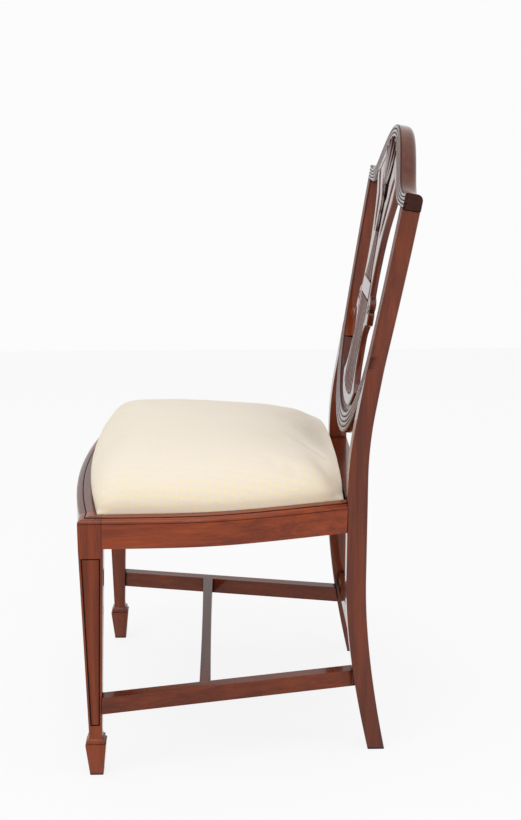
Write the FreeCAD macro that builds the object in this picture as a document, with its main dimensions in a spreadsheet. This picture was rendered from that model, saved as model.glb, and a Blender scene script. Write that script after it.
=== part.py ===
import FreeCAD, Part
import math
import operator
import os
import Sketcher

# Shield back dining chair. X runs to the right of someone who stands in front and looks at it, Y to the
# back, Z up. Every piece is drawn in chair coordinates: Y is measured from the front faces of the front legs,
# and the finished pieces are then set so that the origin lies on the floor, under the middle of the chair.

doc = FreeCAD.newDocument("shield_back_chair")
sheet = doc.addObject("Spreadsheet::Sheet", "sizes")

driving_sizes = {
    # The seat as a whole
    "chair_width": 530,
    "seat_height": 417,
    "seat_drop": 4,
    "post_front": 401.5,
    # Seat rails
    "rail_height": 45.8,
    "rail_thickness": 36,
    "front_bow": 21,
    "side_bend_half": 258.3,
    "side_bend_reach": 204,
    "lip_reach": 25,
    "bead_width": 7,
    "bead_drop": 1.5,
    "bead_round": 5,
    "rebate_depth": 19,
    "rear_ledge": 13.5,
    # Front legs
    "leg_block": 36,
    "cove_middle": 2.8,
    "spade_foot": 19.6,
    "spade_width": 31,
    "spade_height": 52,
    "ledge_height": 1.5,
    "collar_width": 27,
    "collar_height": 6.5,
    "cove_height": 7,
    "cove_waist": 21.4,
    "neck_width": 19.5,
    "panel_foot": 80,
    "panel_gap": 13,
    "panel_margin": 4.5,
    "groove_width": 2,
    "groove_depth": 1.5,
    "field_depth": 0.6,
    # Rear posts
    "post_half": 196.5,
    "post_foot_half": 192.5,
    "post_width": 27.5,
    "post_depth": 30.5,
    "kick_reach": 38.5,
    "kick_corner": 171,
    "kick_height": 290,
    "foot_depth": 26.6,
    "back_rake": 9.8,
    "bend_rise": 61,
    "bend_reach": 52,
    # Shield back
    "shield_depth": 25.5,
    "shield_gap": 63,
    "shield_rail_depth": 32,
    "shield_joint_rise": 120,
    "shield_outer_spread": 10.5,
    "shield_inner_spread": 9,
    "horn_rise": 45,
    "horn_overlap": 9,
    "flare_start_rise": 10,
    "flare_handle_rise": 30,
    "flare_shoulder_rise": 110,
    "flare_shoulder_reach": 25.5,
    "ear_reach": 35.5,
    "ear_flat": 5,
    "crest_height": 966,
    "crest_dip_drop": 84.5,
    "ear_drop": 81,
    "crest_middle": 41,
    "crest_shoulder_drop": 82,
    "crest_joint_drop": 104,
    "crest_round": 9,
    "crest_overhang": 1,
    # Splat
    "splat_half": 119,
    "splat_foot_rise": 11,
    "splat_recess": 2.8,
    "splat_thickness": 9.5,
    "splat_neck_half": 14,
    "splat_tenon": 9,
    "splat_neck_root": 3,
    "splat_tongue_root": 14,
    "splat_side_root": 4,
    # Stretchers
    "stretcher_bottom": 103.8,
    "stretcher_top": 131,
    "stretcher_thickness": 18.5,
    "stretcher_front_set_in": 3.6,
    "stretcher_rear_set_in": 15.5,
    "cross_front": 174,
    "cross_depth": 17.5,
    "cross_waist": 1.2,
    "rear_stretcher_top": 157,
    "rear_stretcher_height": 27,
    "rear_stretcher_set_back": 19.5,
    "rear_stretcher_depth": 14,
    # Joints
    "tenon_thickness": 9,
    "tenon_shoulder": 3,
    "tenon_root": 1,
    "front_rail_tenon": 20,
    "rail_tenon": 15,
    "post_tenon": 14,
    "tenon_clearance": 3,
    "stretcher_tenon": 12,
    "cross_tenon": 8,
    "lower_rail_tenon": 24,
    "crest_tenon_set_in": 2,
    "mortise_play": 0.1,
    "mortise_room": 1,
    # Corner blocks and screws
    "block_reach": 52,
    "block_height": 20,
    "block_gap": 0.2,
    "block_screw_stagger": 0.8,
    "block_screw_access": 20,
    "screw_length": 40,
    "screw_radius": 2.2,
    "screw_head_radius": 4.2,
    "screw_head_height": 2.5,
    # Drop-in seat
    "seat_play": 0.8,
    "cover_thickness": 1.2,
    "seat_lift_gap": 0.3,
    "dust_cloth_thickness": 0.8,
    "seat_rear_gap": 4,
    "loose_frame_thickness": 16,
    "loose_frame_width": 48,
    "loose_frame_tenon": 20,
    "loose_tenon_root": 6,
    "outline_step": 0.5,
    "strap_width": 48,
    "strap_thickness": 1.5,
    "strap_landing": 30,
    "strap_spread": 6,
    "base_cloth_thickness": 1,
    "base_cloth_margin": 5,
    "cushion_crown": 84,
    "cushion_gap": 0.3,
    "cover_turn_in": 18,
    "tack_radius": 0.8,
    "tack_length": 9,
    "tack_head_radius": 3,
    "tack_head_height": 0.8,
    "tack_margin": 2,
    "tack_spacing": 45,
    # How far the shapes that trim a piece run past it
    "cut_spare": 1,
    "end_spare": 6,
    "cut_room": 30,
}

for row, (name, number) in enumerate(driving_sizes.items(), start=1):
    sheet.set(f"A{row}", name)
    sheet.set(f"B{row}", str(number))
    sheet.setAlias(f"B{row}", name)
doc.recompute()


class Size:
    """A length or an angle together with the sheet expression that gives it."""

    def __init__(self, value, text):
        self.value = float(value)
        self.text = text

    def __float__(self):
        return self.value

    def __add__(self, other):
        return combined(self, "+", other)

    def __radd__(self, other):
        return combined(other, "+", self)

    def __sub__(self, other):
        return combined(self, "-", other)

    def __rsub__(self, other):
        return combined(other, "-", self)

    def __mul__(self, other):
        return combined(self, "*", other)

    def __rmul__(self, other):
        return combined(other, "*", self)

    def __truediv__(self, other):
        return combined(self, "/", other)

    def __neg__(self):
        return combined(0, "-", self)


OPERATIONS = {"+": operator.add, "-": operator.sub, "*": operator.mul, "/": operator.truediv}


def as_size(thing):
    return thing if isinstance(thing, Size) else Size(thing, f"({thing})")


def combined(left, sign, right):
    left = as_size(left)
    right = as_size(right)
    return Size(OPERATIONS[sign](left.value, right.value), f"({left.text} {sign} {right.text})")


class Sizes:
    """The cells of the sheet, each as a Size."""


s = Sizes()
for name in driving_sizes:
    setattr(s, name, Size(sheet.get(name), f"sizes.{name}"))


# Angles and the two leaning frames

RAKE = s.back_rake.value
rake_sine = Size(math.sin(math.radians(RAKE)), "sin(sizes.back_rake * 1 deg)")
rake_cosine = Size(math.cos(math.radians(RAKE)), "cos(sizes.back_rake * 1 deg)")
rake_slope = rake_sine / rake_cosine

# The front plane of the shield leans back through this line on the floor.
bend_height = s.seat_height + s.bend_rise
shield_floor = s.post_front - bend_height * rake_slope
crest_back = (
    shield_floor
    + (s.crest_height / rake_cosine - s.crest_round) * rake_sine
    + (s.shield_depth + s.crest_overhang - s.crest_round) * rake_cosine
    + s.crest_round
)
chair_middle = (crest_back - s.front_bow) / 2

seat_tilt = math.degrees(math.atan2(s.seat_drop.value, (s.post_front - s.leg_block).value))

X_AXIS = FreeCAD.Vector(1, 0, 0)
LEVEL = FreeCAD.Rotation()
to_middle = FreeCAD.Vector(0, -chair_middle.value, 0)
shield_frame = FreeCAD.Placement(FreeCAD.Vector(0, shield_floor.value, 0), FreeCAD.Rotation(X_AXIS, -RAKE))
seat_pivot = FreeCAD.Vector(0, s.leg_block.value, s.seat_height.value)
seat_frame = FreeCAD.Placement(FreeCAD.Vector(), FreeCAD.Rotation(X_AXIS, -seat_tilt), seat_pivot)

half_width = s.chair_width / 2
leg_inner = half_width - s.leg_block
rail_bottom = s.seat_height - s.rail_height
rebate_floor = s.seat_height - s.rebate_depth
rear_rail_top = s.seat_height - s.seat_drop
post_inner = s.post_half - s.post_width
stretcher_front_half = half_width - s.stretcher_front_set_in
stretcher_rear_half = s.post_half - s.stretcher_rear_set_in
rear_stretcher_front = s.post_front + s.rear_stretcher_set_back

# Heights above the floor and widths of the shield back
shield_bottom = s.seat_height + s.shield_gap
shield_hollow = shield_bottom + s.shield_rail_depth
shield_joint = shield_bottom + s.shield_joint_rise
shield_outer_radius = s.post_half + s.shield_outer_spread
shield_inner_radius = post_inner + s.shield_inner_spread
horn_top = shield_joint + s.horn_rise
flare_start = shield_joint + s.flare_start_rise
splat_foot = shield_hollow + s.splat_foot_rise
ear_half = s.post_half + s.ear_reach
ear_height = s.crest_height - s.ear_drop
crest_dip = s.crest_height - s.crest_dip_drop
crest_arch = s.crest_height - s.crest_middle
crest_shoulder = s.crest_height - s.crest_shoulder_drop
crest_joint = s.crest_height - s.crest_joint_drop


# Drawing helpers

parts = []


def new_body(name, frame=None):
    """Starts a sub-part. Its frame says how its own coordinates stand in chair coordinates."""
    body = doc.addObject("PartDesign::Body", name)
    body.Label = name
    place = frame if frame else FreeCAD.Placement()
    body.Placement = FreeCAD.Placement(to_middle, LEVEL).multiply(place)
    if not frame:
        body.setExpression("Placement.Base.y", (-chair_middle).text)
    parts.append(body)
    return body


def origin_plane(body, role):
    return next(feature for feature in body.Origin.OriginFeatures if feature.Role == role)


def point(pair):
    return FreeCAD.Vector(float(pair[0]), float(pair[1]), 0)


def lines(*pairs):
    """Straight edges through the given points, in order."""
    return [Part.LineSegment(point(a), point(b)) for a, b in zip(pairs, pairs[1:])]


def closed(*pairs):
    return lines(*pairs, pairs[0])


def bezier(*pairs):
    curve = Part.BezierCurve()
    curve.setPoles([point(pair) for pair in pairs])
    return curve.toBSpline()


def spline(*pairs):
    curve = Part.BSplineCurve()
    curve.interpolate([point(pair) for pair in pairs])
    return curve


def circular(start, middle, end):
    return Part.Arc(point(start), point(middle), point(end))


def mirrored(pairs):
    """The same points on the other side of the chair, in the opposite order."""
    return [(-float(across), up) for across, up in reversed(pairs)]


def bind(feature, path, size):
    feature.setExpression(path, as_size(size).text)


def sketch_on(body, name, plane, edges, start=0, frame=None):
    """A sketch of the given edges on one of the body's own planes, moved along the plane's axis to start."""
    sketch = body.newObject("Sketcher::SketchObject", name)
    sketch.AttachmentSupport = [(origin_plane(body, plane), "")]
    sketch.MapMode = "FlatFace"
    along = -as_size(start) if plane == "XZ_Plane" else as_size(start)
    if frame:
        sketch.AttachmentOffset = frame
    else:
        bind(sketch, "AttachmentOffset.Base.z", along)
    for edge in edges:
        sketch.addGeometry(edge, False)
    join_ends(sketch)
    return sketch


def join_ends(sketch):
    """Ties each end of an edge to the end of another edge that lies on it."""
    ends = []
    for index in range(sketch.GeometryCount):
        for end in (1, 2):
            ends.append((index, end, sketch.getPoint(index, end)))
    for number, (index, end, place) in enumerate(ends):
        for other_index, other_end, other_place in ends[number + 1:]:
            if other_index != index and place.distanceToPoint(other_place) < 1e-6:
                sketch.addConstraint(Sketcher.Constraint("Coincident", index, end, other_index, other_end))
                break


def extrude(body, name, plane, edges, start, end, cut=False):
    """Pads or pockets the edges between two distances along the axis that the plane faces."""
    sketch = sketch_on(body, name + "_sketch", plane, edges, start)
    feature = body.newObject("PartDesign::Pocket" if cut else "PartDesign::Pad", name)
    feature.Profile = sketch
    bind(feature, "Length", as_size(end) - start)
    backward = plane == "XZ_Plane"
    feature.Reversed = backward != cut
    return feature


def box(body, name, low, high, cut=False, frame=None):
    """Adds or cuts a box between two corners, in the body's coordinates or in those of a leaning frame."""
    feature = body.newObject("PartDesign::SubtractiveBox" if cut else "PartDesign::AdditiveBox", name)
    for path, start, end in zip(("Length", "Width", "Height"), low, high):
        bind(feature, path, as_size(end) - start)
    if frame:
        corner = FreeCAD.Vector(*(float(start) for start in low))
        feature.Placement = frame.multiply(FreeCAD.Placement(corner, LEVEL))
    else:
        for axis, start in zip("xyz", low):
            bind(feature, "Placement.Base." + axis, start)
    return feature


def across(side, inner, outer):
    """The low and high X of a stretch that lies between two distances from the middle, on one side."""
    return (as_size(inner), as_size(outer)) if side > 0 else (-as_size(outer), -as_size(inner))


def rectangle(body, name, x_span, y_span, height):
    """A level rectangle whose four sides are tied to the sheet."""
    x_low, x_high = x_span
    y_low, y_high = y_span
    edges = closed((x_low, y_low), (x_high, y_low), (x_high, y_high), (x_low, y_high))
    sketch = sketch_on(body, name, "XY_Plane", edges, height)
    for index in (0, 2):
        sketch.addConstraint(Sketcher.Constraint("Horizontal", index))
        sketch.addConstraint(Sketcher.Constraint("Vertical", index + 1))
    low_corner = (("DistanceX", 0, x_low), ("DistanceY", 0, y_low))
    high_corner = (("DistanceX", 2, x_high), ("DistanceY", 2, y_high))
    for kind, index, place in low_corner + high_corner:
        number = sketch.addConstraint(Sketcher.Constraint(kind, -1, 1, index, 1, float(place)))
        bind(sketch, f"Constraints[{number}]", place)
    return sketch


def loft(body, name, sketches, ruled=True, cut=False):
    feature = body.newObject("PartDesign::SubtractiveLoft" if cut else "PartDesign::AdditiveLoft", name)
    feature.Profile = sketches[0]
    feature.Sections = sketches[1:]
    feature.Ruled = ruled
    return feature


def round_edges(body, name, radius, wanted):
    """Rounds the edges of the body so far whose middle point passes the test."""
    doc.recompute()
    base = body.Tip
    found = []
    for number, edge in enumerate(base.Shape.Edges, start=1):
        middle = edge.valueAt((edge.FirstParameter + edge.LastParameter) / 2)
        if wanted(edge, middle):
            found.append(f"Edge{number}")
    feature = body.newObject("PartDesign::Fillet", name)
    feature.Base = (base, found)
    bind(feature, "Radius", radius)
    return feature


def mortise(body, name, low, high, frame=None):
    """Cuts the hole for a tenon, wider by the play on each side."""
    play = s.mortise_play
    low = [as_size(start) - play for start in low]
    high = [as_size(end) + play for end in high]
    return box(body, name, low, high, cut=True, frame=frame)


# Plan curves of the seat


def front_curve(setback, start, end):
    """The bowed front line from one X to another, moved back by the setback."""
    reach = leg_inner.value
    bow = s.front_bow.value

    def place(x):
        return float(setback) - bow * (1 - (x / reach) ** 2)

    start = float(start)
    end = float(end)
    slope = 2 * bow * start / reach ** 2
    handle = ((start + end) / 2, place(start) + slope * (end - start) / 2)
    return bezier((start, place(start)), handle, (end, place(end)))


def side_curve(side, inset, start, end):
    """The bowed side line between two Y, moved in towards the middle by the inset."""
    bend = (side * (s.side_bend_half.value - float(inset)), s.side_bend_reach)
    front = (side * (half_width.value - float(inset)), s.leg_block)
    rear = (side * (s.post_half.value - float(inset)), s.post_front)
    curve = bezier(front, bend, bend, rear)
    start_at = parameter_at(curve, float(start))
    end_at = parameter_at(curve, float(end))
    curve.segment(min(start_at, end_at), max(start_at, end_at))
    return curve


def parameter_at(curve, y):
    low, high = 0.0, 1.0
    for _ in range(50):
        middle = (low + high) / 2
        if curve.value(middle).y < y:
            low = middle
        else:
            high = middle
    return round((low + high) / 2, 12)


def ends_of(curve):
    start = curve.value(curve.FirstParameter)
    end = curve.value(curve.LastParameter)
    return (start.x, start.y), (end.x, end.y)


# Front legs


def front_leg(side, name):
    body = new_body(name)
    centre = s.spade_width / 2

    def square(label, width, height):
        near = centre - width / 2
        far = centre + width / 2
        return rectangle(body, label, across(side, half_width - far, half_width - near), (near, far), height)

    def square_box(label, width, low, high):
        x_low, x_high = across(side, half_width - centre - width / 2, half_width - centre + width / 2)
        box(body, label, (x_low, centre - width / 2, low), (x_high, centre + width / 2, high))

    foot = square("foot_outline", s.spade_foot, 0)
    spade_top = square("spade_outline", s.spade_width, s.spade_height)
    loft(body, "spade", [foot, spade_top])
    collar_foot = s.spade_height + s.ledge_height
    collar_top = collar_foot + s.collar_height
    neck_height = collar_top + s.cove_height
    square_box("ledge", s.spade_width, s.spade_height, collar_foot)
    square_box("collar", s.collar_width, collar_foot, collar_top)
    collar_outline = square("collar_outline", s.collar_width, collar_top)
    cove_outline = square("cove_outline", s.cove_waist, collar_top + s.cove_middle)
    neck_outline = square("neck_outline", s.neck_width, neck_height)
    block_span = across(side, leg_inner, half_width)
    block_outline = rectangle(body, "block_outline", block_span, (0, s.leg_block), rail_bottom)
    loft(body, "shaft", [collar_outline, cove_outline, neck_outline, block_outline])
    box(body, "block", (block_span[0], 0, rail_bottom), (block_span[1], s.leg_block, s.seat_height))
    clear = s.cut_spare
    rebate_low, rebate_high = across(side, leg_inner - clear, half_width - s.lip_reach)
    box(
        body,
        "seat_rebate",
        (rebate_low, s.lip_reach, rebate_floor),
        (rebate_high, s.leg_block + clear, s.seat_height + clear),
        cut=True,
    )
    bead_low, bead_high = across(side, half_width - s.bead_width, half_width + clear)
    bead_floor = s.seat_height - s.bead_drop
    box(
        body,
        "outer_bead_step",
        (bead_low, -clear, bead_floor),
        (bead_high, s.leg_block + clear, s.seat_height + clear),
        cut=True,
    )
    step_low, step_high = across(side, leg_inner - clear, half_width + clear)
    box(
        body,
        "front_bead_step",
        (step_low, -clear, bead_floor),
        (step_high, s.bead_width, s.seat_height + clear),
        cut=True,
    )

    def is_bead_edge(edge, middle):
        on_front = abs(middle.y) < 0.01
        on_side = abs(abs(middle.x) - half_width.value) < 0.01
        return abs(middle.z - bead_floor.value) < 0.01 and (on_front or on_side)

    round_edges(body, "bead", s.bead_round, is_bead_edge)

    # Sunk panels follow the taper of the shaft on its front and outer faces.
    shaft_length = (rail_bottom - neck_height).value
    neck_inset = (centre - s.neck_width / 2).value
    lean = math.degrees(math.atan2(neck_inset, shaft_length))

    def panel(margin):
        corners = []
        panel_low = (s.panel_foot - rail_bottom).value
        panel_high = -s.panel_gap.value
        for height in (panel_low + float(margin), panel_high - float(margin)):
            share = -height / shaft_length
            inset = neck_inset * share
            width = s.leg_block.value - (s.leg_block - s.neck_width).value * share
            corners.append((inset + float(margin), inset + width - float(margin), height))
        (near, far, low), (near_top, far_top, high) = corners
        return (near, low), (far, low), (far_top, high), (near_top, high)

    ring_outer = panel(s.panel_margin)
    ring_inner = panel(s.panel_margin + s.groove_width)
    front_place = FreeCAD.Placement(FreeCAD.Vector(0, rail_bottom.value, 0), FreeCAD.Rotation(X_AXIS, lean))
    outer_place = FreeCAD.Placement(
        FreeCAD.Vector(0, rail_bottom.value, side * half_width.value), FreeCAD.Rotation(X_AXIS, side * lean)
    )

    def on_front(pair):
        return side * (half_width.value - pair[0]), pair[1]

    def on_side(pair):
        return pair

    faces = (
        ("front", "XZ_Plane", front_place, on_front, False),
        ("outer", "YZ_Plane", outer_place, on_side, side < 0),
    )
    for face, plane, place, spread, turned in faces:
        wide = closed(*(spread(pair) for pair in ring_outer))
        narrow = closed(*(spread(pair) for pair in ring_inner))
        cuts = (("groove", wide + narrow, s.groove_depth), ("field", narrow, s.field_depth))
        for label, edges, depth in cuts:
            sketch = sketch_on(body, f"{face}_{label}_outline", plane, edges, frame=place)
            pocket = body.newObject("PartDesign::Pocket", f"{face}_{label}")
            pocket.Profile = sketch
            bind(pocket, "Length", depth)
            pocket.Reversed = turned

    mortise(body, "front_rail_mortise", *front_rail_tenon(side, s.mortise_room))
    mortise(body, "side_rail_mortise", *side_rail_front_tenon(side, s.mortise_room))
    mortise(body, "stretcher_mortise", *side_stretcher_tenon(side, "front", s.mortise_room))


# Tenons, each as the low and high corner of its box. The room is how much deeper the mortise is.

tenon_low = rail_bottom + s.tenon_shoulder
tenon_high = rebate_floor - s.tenon_shoulder


def front_rail_tenon(side, room=0):
    x_low, x_high = across(side, leg_inner - s.tenon_root, leg_inner + s.front_rail_tenon + room)
    front = s.leg_block / 2 - s.tenon_thickness
    return (x_low, front, tenon_low), (x_high, front + s.tenon_thickness, tenon_high)


def side_rail_front_tenon(side, room=0):
    middle = half_width - s.leg_block / 2
    x_low, x_high = across(side, middle - s.tenon_thickness / 2, middle + s.tenon_thickness / 2)
    back = s.leg_block + s.tenon_root
    return (x_low, s.leg_block - s.rail_tenon - room, tenon_low), (x_high, back, tenon_high)


def side_rail_rear_tenon(side, room=0):
    middle = s.post_half - s.post_width / 2
    x_low, x_high = across(side, middle - s.tenon_thickness / 2, middle + s.tenon_thickness / 2)
    drop = s.seat_drop
    return (
        (x_low, s.post_front - s.tenon_root, tenon_low - drop),
        (x_high, s.post_front + s.post_tenon + room, tenon_high - drop),
    )


def rear_rail_tenon(side, room=0):
    x_low, x_high = across(side, post_inner - s.tenon_root, post_inner + s.post_tenon + room)
    front = s.post_front + s.post_tenon + s.tenon_clearance
    return (
        (x_low, front, tenon_low - s.seat_drop),
        (x_high, front + s.tenon_thickness, rear_rail_top - s.tenon_shoulder),
    )


def side_stretcher_tenon(side, end, room=0):
    low = s.stretcher_bottom + s.tenon_shoulder
    high = s.stretcher_top - s.tenon_shoulder
    if end == "front":
        middle = stretcher_front_half - s.stretcher_thickness / 2
        y_low = shaft_back(s.stretcher_bottom) - s.stretcher_tenon - room
        y_high = shaft_back(s.stretcher_top) + s.tenon_root
    else:
        middle = (post_inner + stretcher_rear_half) / 2
        y_low = post_foot_front(s.stretcher_top) - s.tenon_root
        y_high = post_foot_front(s.stretcher_bottom) + s.stretcher_tenon + room
    x_low, x_high = across(side, middle - s.tenon_thickness / 2, middle + s.tenon_thickness / 2)
    return (x_low, y_low, low), (x_high, y_high, high)


def rear_stretcher_tenon(side, room=0):
    x_low, x_high = across(side, post_inner - s.tenon_root, post_inner + s.stretcher_tenon + room)
    middle = rear_stretcher_front + s.rear_stretcher_depth / 2
    low = s.rear_stretcher_top - s.rear_stretcher_height + s.tenon_shoulder
    return (
        (x_low, middle - s.tenon_thickness / 2, low),
        (x_high, middle + s.tenon_thickness / 2, s.rear_stretcher_top - s.tenon_shoulder),
    )


# Shield joints stand in the leaning frame: X, depth behind the front plane, and height along the slope.


def rise(height):
    """How far up the leaning front plane a height above the floor lies."""
    return as_size(height) / rake_cosine


def crest_tenon(side, room=0):
    middle = ear_half - s.post_width / 2 - s.crest_tenon_set_in
    x_low, x_high = across(side, middle - s.tenon_thickness, middle + s.tenon_thickness)
    depth = s.shield_depth / 2
    joint = rise(crest_joint)
    return (
        (x_low, depth - s.tenon_thickness / 2, joint - s.tenon_root),
        (x_high, depth + s.tenon_thickness / 2, joint + s.stretcher_tenon + room),
    )


def lower_rail_tenon(side, room=0):
    x_low, x_high = across(side, post_inner - s.tenon_root, post_inner + s.post_tenon + room)
    depth = s.shield_depth / 2
    high = rise(shield_joint) - s.tenon_shoulder
    return (
        (x_low, depth - s.tenon_thickness / 2, high - s.lower_rail_tenon),
        (x_high, depth + s.tenon_thickness / 2, high),
    )


# Rear posts


def shield_front(height):
    """Y of the shield's front plane at a height above the floor."""
    return shield_floor.value + float(height) * rake_slope.value


def post_side_profile():
    """The side view of a rear post, Y and Z: kicked foot, upright middle, bend and raked top."""
    front = s.post_front.value
    back = front + s.post_depth.value
    foot_front = front + s.kick_reach.value
    foot_back = foot_front + s.foot_depth.value
    raked_depth = (s.shield_depth / rake_cosine).value
    front_bend = bend_height.value
    back_bend = front_bend + (s.post_depth.value - raked_depth) / rake_slope.value
    reach = s.bend_reach.value
    top = s.crest_height.value
    kick = s.kick_height.value
    corner = s.kick_corner.value

    def raked(height, depth):
        return shield_front(height) + depth, height

    front_low = (front, front_bend - reach)
    front_high = raked(front_bend + reach, 0)
    back_low = (back, back_bend - reach)
    back_high = raked(back_bend + reach, raked_depth)
    return (
        [bezier((foot_front, 0), (front, corner), (front, kick))]
        + lines((front, kick), front_low)
        + [bezier(front_low, (front, front_bend), front_high)]
        + lines(front_high, raked(top, 0), raked(top, raked_depth), back_high)
        + [bezier(back_high, (back, back_bend), back_low)]
        + lines(back_low, (back, kick))
        + [bezier((back, kick), (back, corner), (foot_back, 0))]
        + lines((foot_back, 0), (foot_front, 0))
    )


def post_front_outline(side):
    """The front view of a rear post, X and Z: straight up to the shield, then flared out to the ear."""
    width = s.post_width.value
    top = s.crest_height.value

    def flare(inset):
        start = flare_start.value
        shoulder_half = (s.post_half + s.flare_shoulder_reach).value
        return [
            (side * (s.post_half.value - inset), start),
            (side * (s.post_half.value - inset), start + s.flare_handle_rise.value),
            (side * (shoulder_half - inset), start + s.flare_shoulder_rise.value),
            (side * (ear_half.value - inset), ear_height.value),
        ]

    outer = flare(0)
    inner = flare(width)
    foot = -s.cut_spare.value
    above = top + s.cut_spare.value
    return (
        [bezier(*outer)]
        + lines(outer[-1], (outer[-1][0], above), (inner[-1][0], above), inner[-1])
        + [bezier(*reversed(inner))]
        + lines(inner[0], (side * post_inner.value, foot))
        + lines((side * post_inner.value, foot), (side * s.post_foot_half.value, foot))
        + lines((side * s.post_foot_half.value, foot), (side * s.post_half.value, s.seat_height), outer[0])
    )


def inner_arc_half(height):
    """Half the width of the shield's opening at a distance up the slope, on the lower rail's circle."""
    centre = (rise(shield_hollow) + shield_inner_radius).value
    return math.sqrt(shield_inner_radius.value ** 2 - (centre - float(height)) ** 2)


def rear_post(side, name):
    body = new_body(name)
    reach_low, reach_high = across(side, post_inner - s.cut_room, ear_half + s.cut_room)
    extrude(body, "side_view", "YZ_Plane", post_side_profile(), reach_low, reach_high)
    spare = s.end_spare
    room = s.cut_room
    left, right = reach_low - spare, reach_high + spare
    above = s.crest_height + spare
    window = closed((left, -spare), (right, -spare), (right, above), (left, above))
    extrude(
        body,
        "front_view",
        "XZ_Plane",
        window + post_front_outline(side),
        s.post_front - room,
        crest_back + room,
        cut=True,
    )
    joint = rise(crest_joint)
    box(
        body,
        "above_crest_joint",
        (left, -room, joint),
        (right, s.shield_depth + room, rise(s.crest_height) + room),
        cut=True,
        frame=shield_frame,
    )

    # The horn carries the sweep of the shield's lower rail into the post.
    low = rise(shield_joint).value
    high = rise(horn_top).value
    middle = (low + high) / 2
    inside = (post_inner + s.horn_overlap).value
    horn = [
        circular(
            (side * inner_arc_half(low), low),
            (side * inner_arc_half(middle), middle),
            (side * inner_arc_half(high), high),
        )
    ] + lines(
        (side * inner_arc_half(high), high),
        (side * inside, high),
        (side * inside, low),
        (side * inner_arc_half(low), low),
    )
    place = FreeCAD.Placement(FreeCAD.Vector(0, 0, -shield_floor.value), FreeCAD.Rotation(X_AXIS, -RAKE))
    sketch = sketch_on(body, "horn_outline", "XZ_Plane", horn, frame=place)
    pad = body.newObject("PartDesign::Pad", "horn")
    pad.Profile = sketch
    bind(pad, "Length", s.shield_depth)
    pad.Reversed = True

    box(body, "crest_tenon", *crest_tenon(side), frame=shield_frame)
    mortise(body, "lower_rail_mortise", *lower_rail_tenon(side, s.mortise_room), frame=shield_frame)
    mortise(body, "side_rail_mortise", *side_rail_rear_tenon(side, s.mortise_room))
    mortise(body, "rear_rail_mortise", *rear_rail_tenon(side, s.mortise_room))
    mortise(body, "side_stretcher_mortise", *side_stretcher_tenon(side, "rear", s.mortise_room))
    mortise(body, "rear_stretcher_mortise", *rear_stretcher_tenon(side, s.mortise_room))


# Seat rails


def front_seat_rail():
    body = new_body("front_seat_rail")
    left = -leg_inner.value
    right = leg_inner.value

    def strip(setback, depth):
        front = front_curve(setback, left, right)
        back = front_curve(as_size(setback) + depth, left, right)
        front_left, front_right = ends_of(front)
        back_left, back_right = ends_of(back)
        return [front] + lines(front_right, back_right) + [back] + lines(back_left, front_left)

    bead_floor = s.seat_height - s.bead_drop
    extrude(body, "rail", "XY_Plane", strip(0, s.rail_thickness), rail_bottom, rebate_floor)
    extrude(body, "moulding", "XY_Plane", strip(0, s.lip_reach), rebate_floor, bead_floor)
    round_edges(
        body,
        "bead",
        s.bead_round,
        lambda edge, middle: abs(middle.z - bead_floor.value) < 0.01
        and abs(middle.y + s.front_bow.value) < 0.5,
    )
    extrude(
        body, "lip", "XY_Plane", strip(s.bead_width, s.lip_reach - s.bead_width), bead_floor, s.seat_height
    )
    for side in (-1, 1):
        box(body, f"tenon_{'right' if side > 0 else 'left'}", *front_rail_tenon(side))


def side_seat_rail(side, name):
    body = new_body(name, seat_frame)
    front = s.leg_block.value
    rear = s.post_front.value
    spare = s.end_spare.value

    def strip(inset, thickness):
        outer = side_curve(side, inset, front, rear)
        inner = side_curve(side, as_size(inset) + thickness, front, rear)
        outer_front, outer_rear = ends_of(outer)
        inner_front, inner_rear = ends_of(inner)
        beyond_outer = (outer_rear[0], rear + spare)
        beyond_inner = (inner_rear[0], rear + spare)
        before_outer = (outer_front[0], front - spare)
        before_inner = (inner_front[0], front - spare)
        return (
            [outer]
            + lines(outer_rear, beyond_outer, beyond_inner, inner_rear)
            + [inner]
            + lines(inner_front, before_inner, before_outer, outer_front)
        )

    bead_floor = s.seat_height - s.bead_drop
    extrude(body, "rail", "XY_Plane", strip(0, s.rail_thickness), rail_bottom, rebate_floor)
    extrude(body, "moulding", "XY_Plane", strip(0, s.lip_reach), rebate_floor, bead_floor)

    def is_bead_edge(edge, middle):
        outermost = side_curve(side, 0, front, rear)
        away = outermost.toShape().distToShape(Part.Vertex(middle.x, middle.y, 0))[0]
        from_ends = min(abs(abs(middle.x) - half_width.value), abs(abs(middle.x) - s.post_half.value))
        on_line = away < 0.05 or (from_ends < 0.01 and edge.Length < 1.2 * spare)
        return abs(middle.z - bead_floor.value) < 0.01 and on_line

    round_edges(body, "bead", s.bead_round, is_bead_edge)
    extrude(
        body, "lip", "XY_Plane", strip(s.bead_width, s.lip_reach - s.bead_width), bead_floor, s.seat_height
    )
    # The ends are trimmed upright, against the leg and the post.
    level = seat_frame.inverse()
    room = s.cut_room
    x_low, x_high = across(side, post_inner - room, half_width + room)
    box(
        body,
        "front_end",
        (x_low, s.leg_block - room, rail_bottom - room),
        (x_high, s.leg_block, s.seat_height + room),
        cut=True,
        frame=level,
    )
    box(
        body,
        "rear_end",
        (x_low, s.post_front, rail_bottom - room),
        (x_high, s.post_front + room, s.seat_height + room),
        cut=True,
        frame=level,
    )
    box(body, "front_tenon", *side_rail_front_tenon(side), frame=level)
    box(body, "rear_tenon", *side_rail_rear_tenon(side), frame=level)


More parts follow.
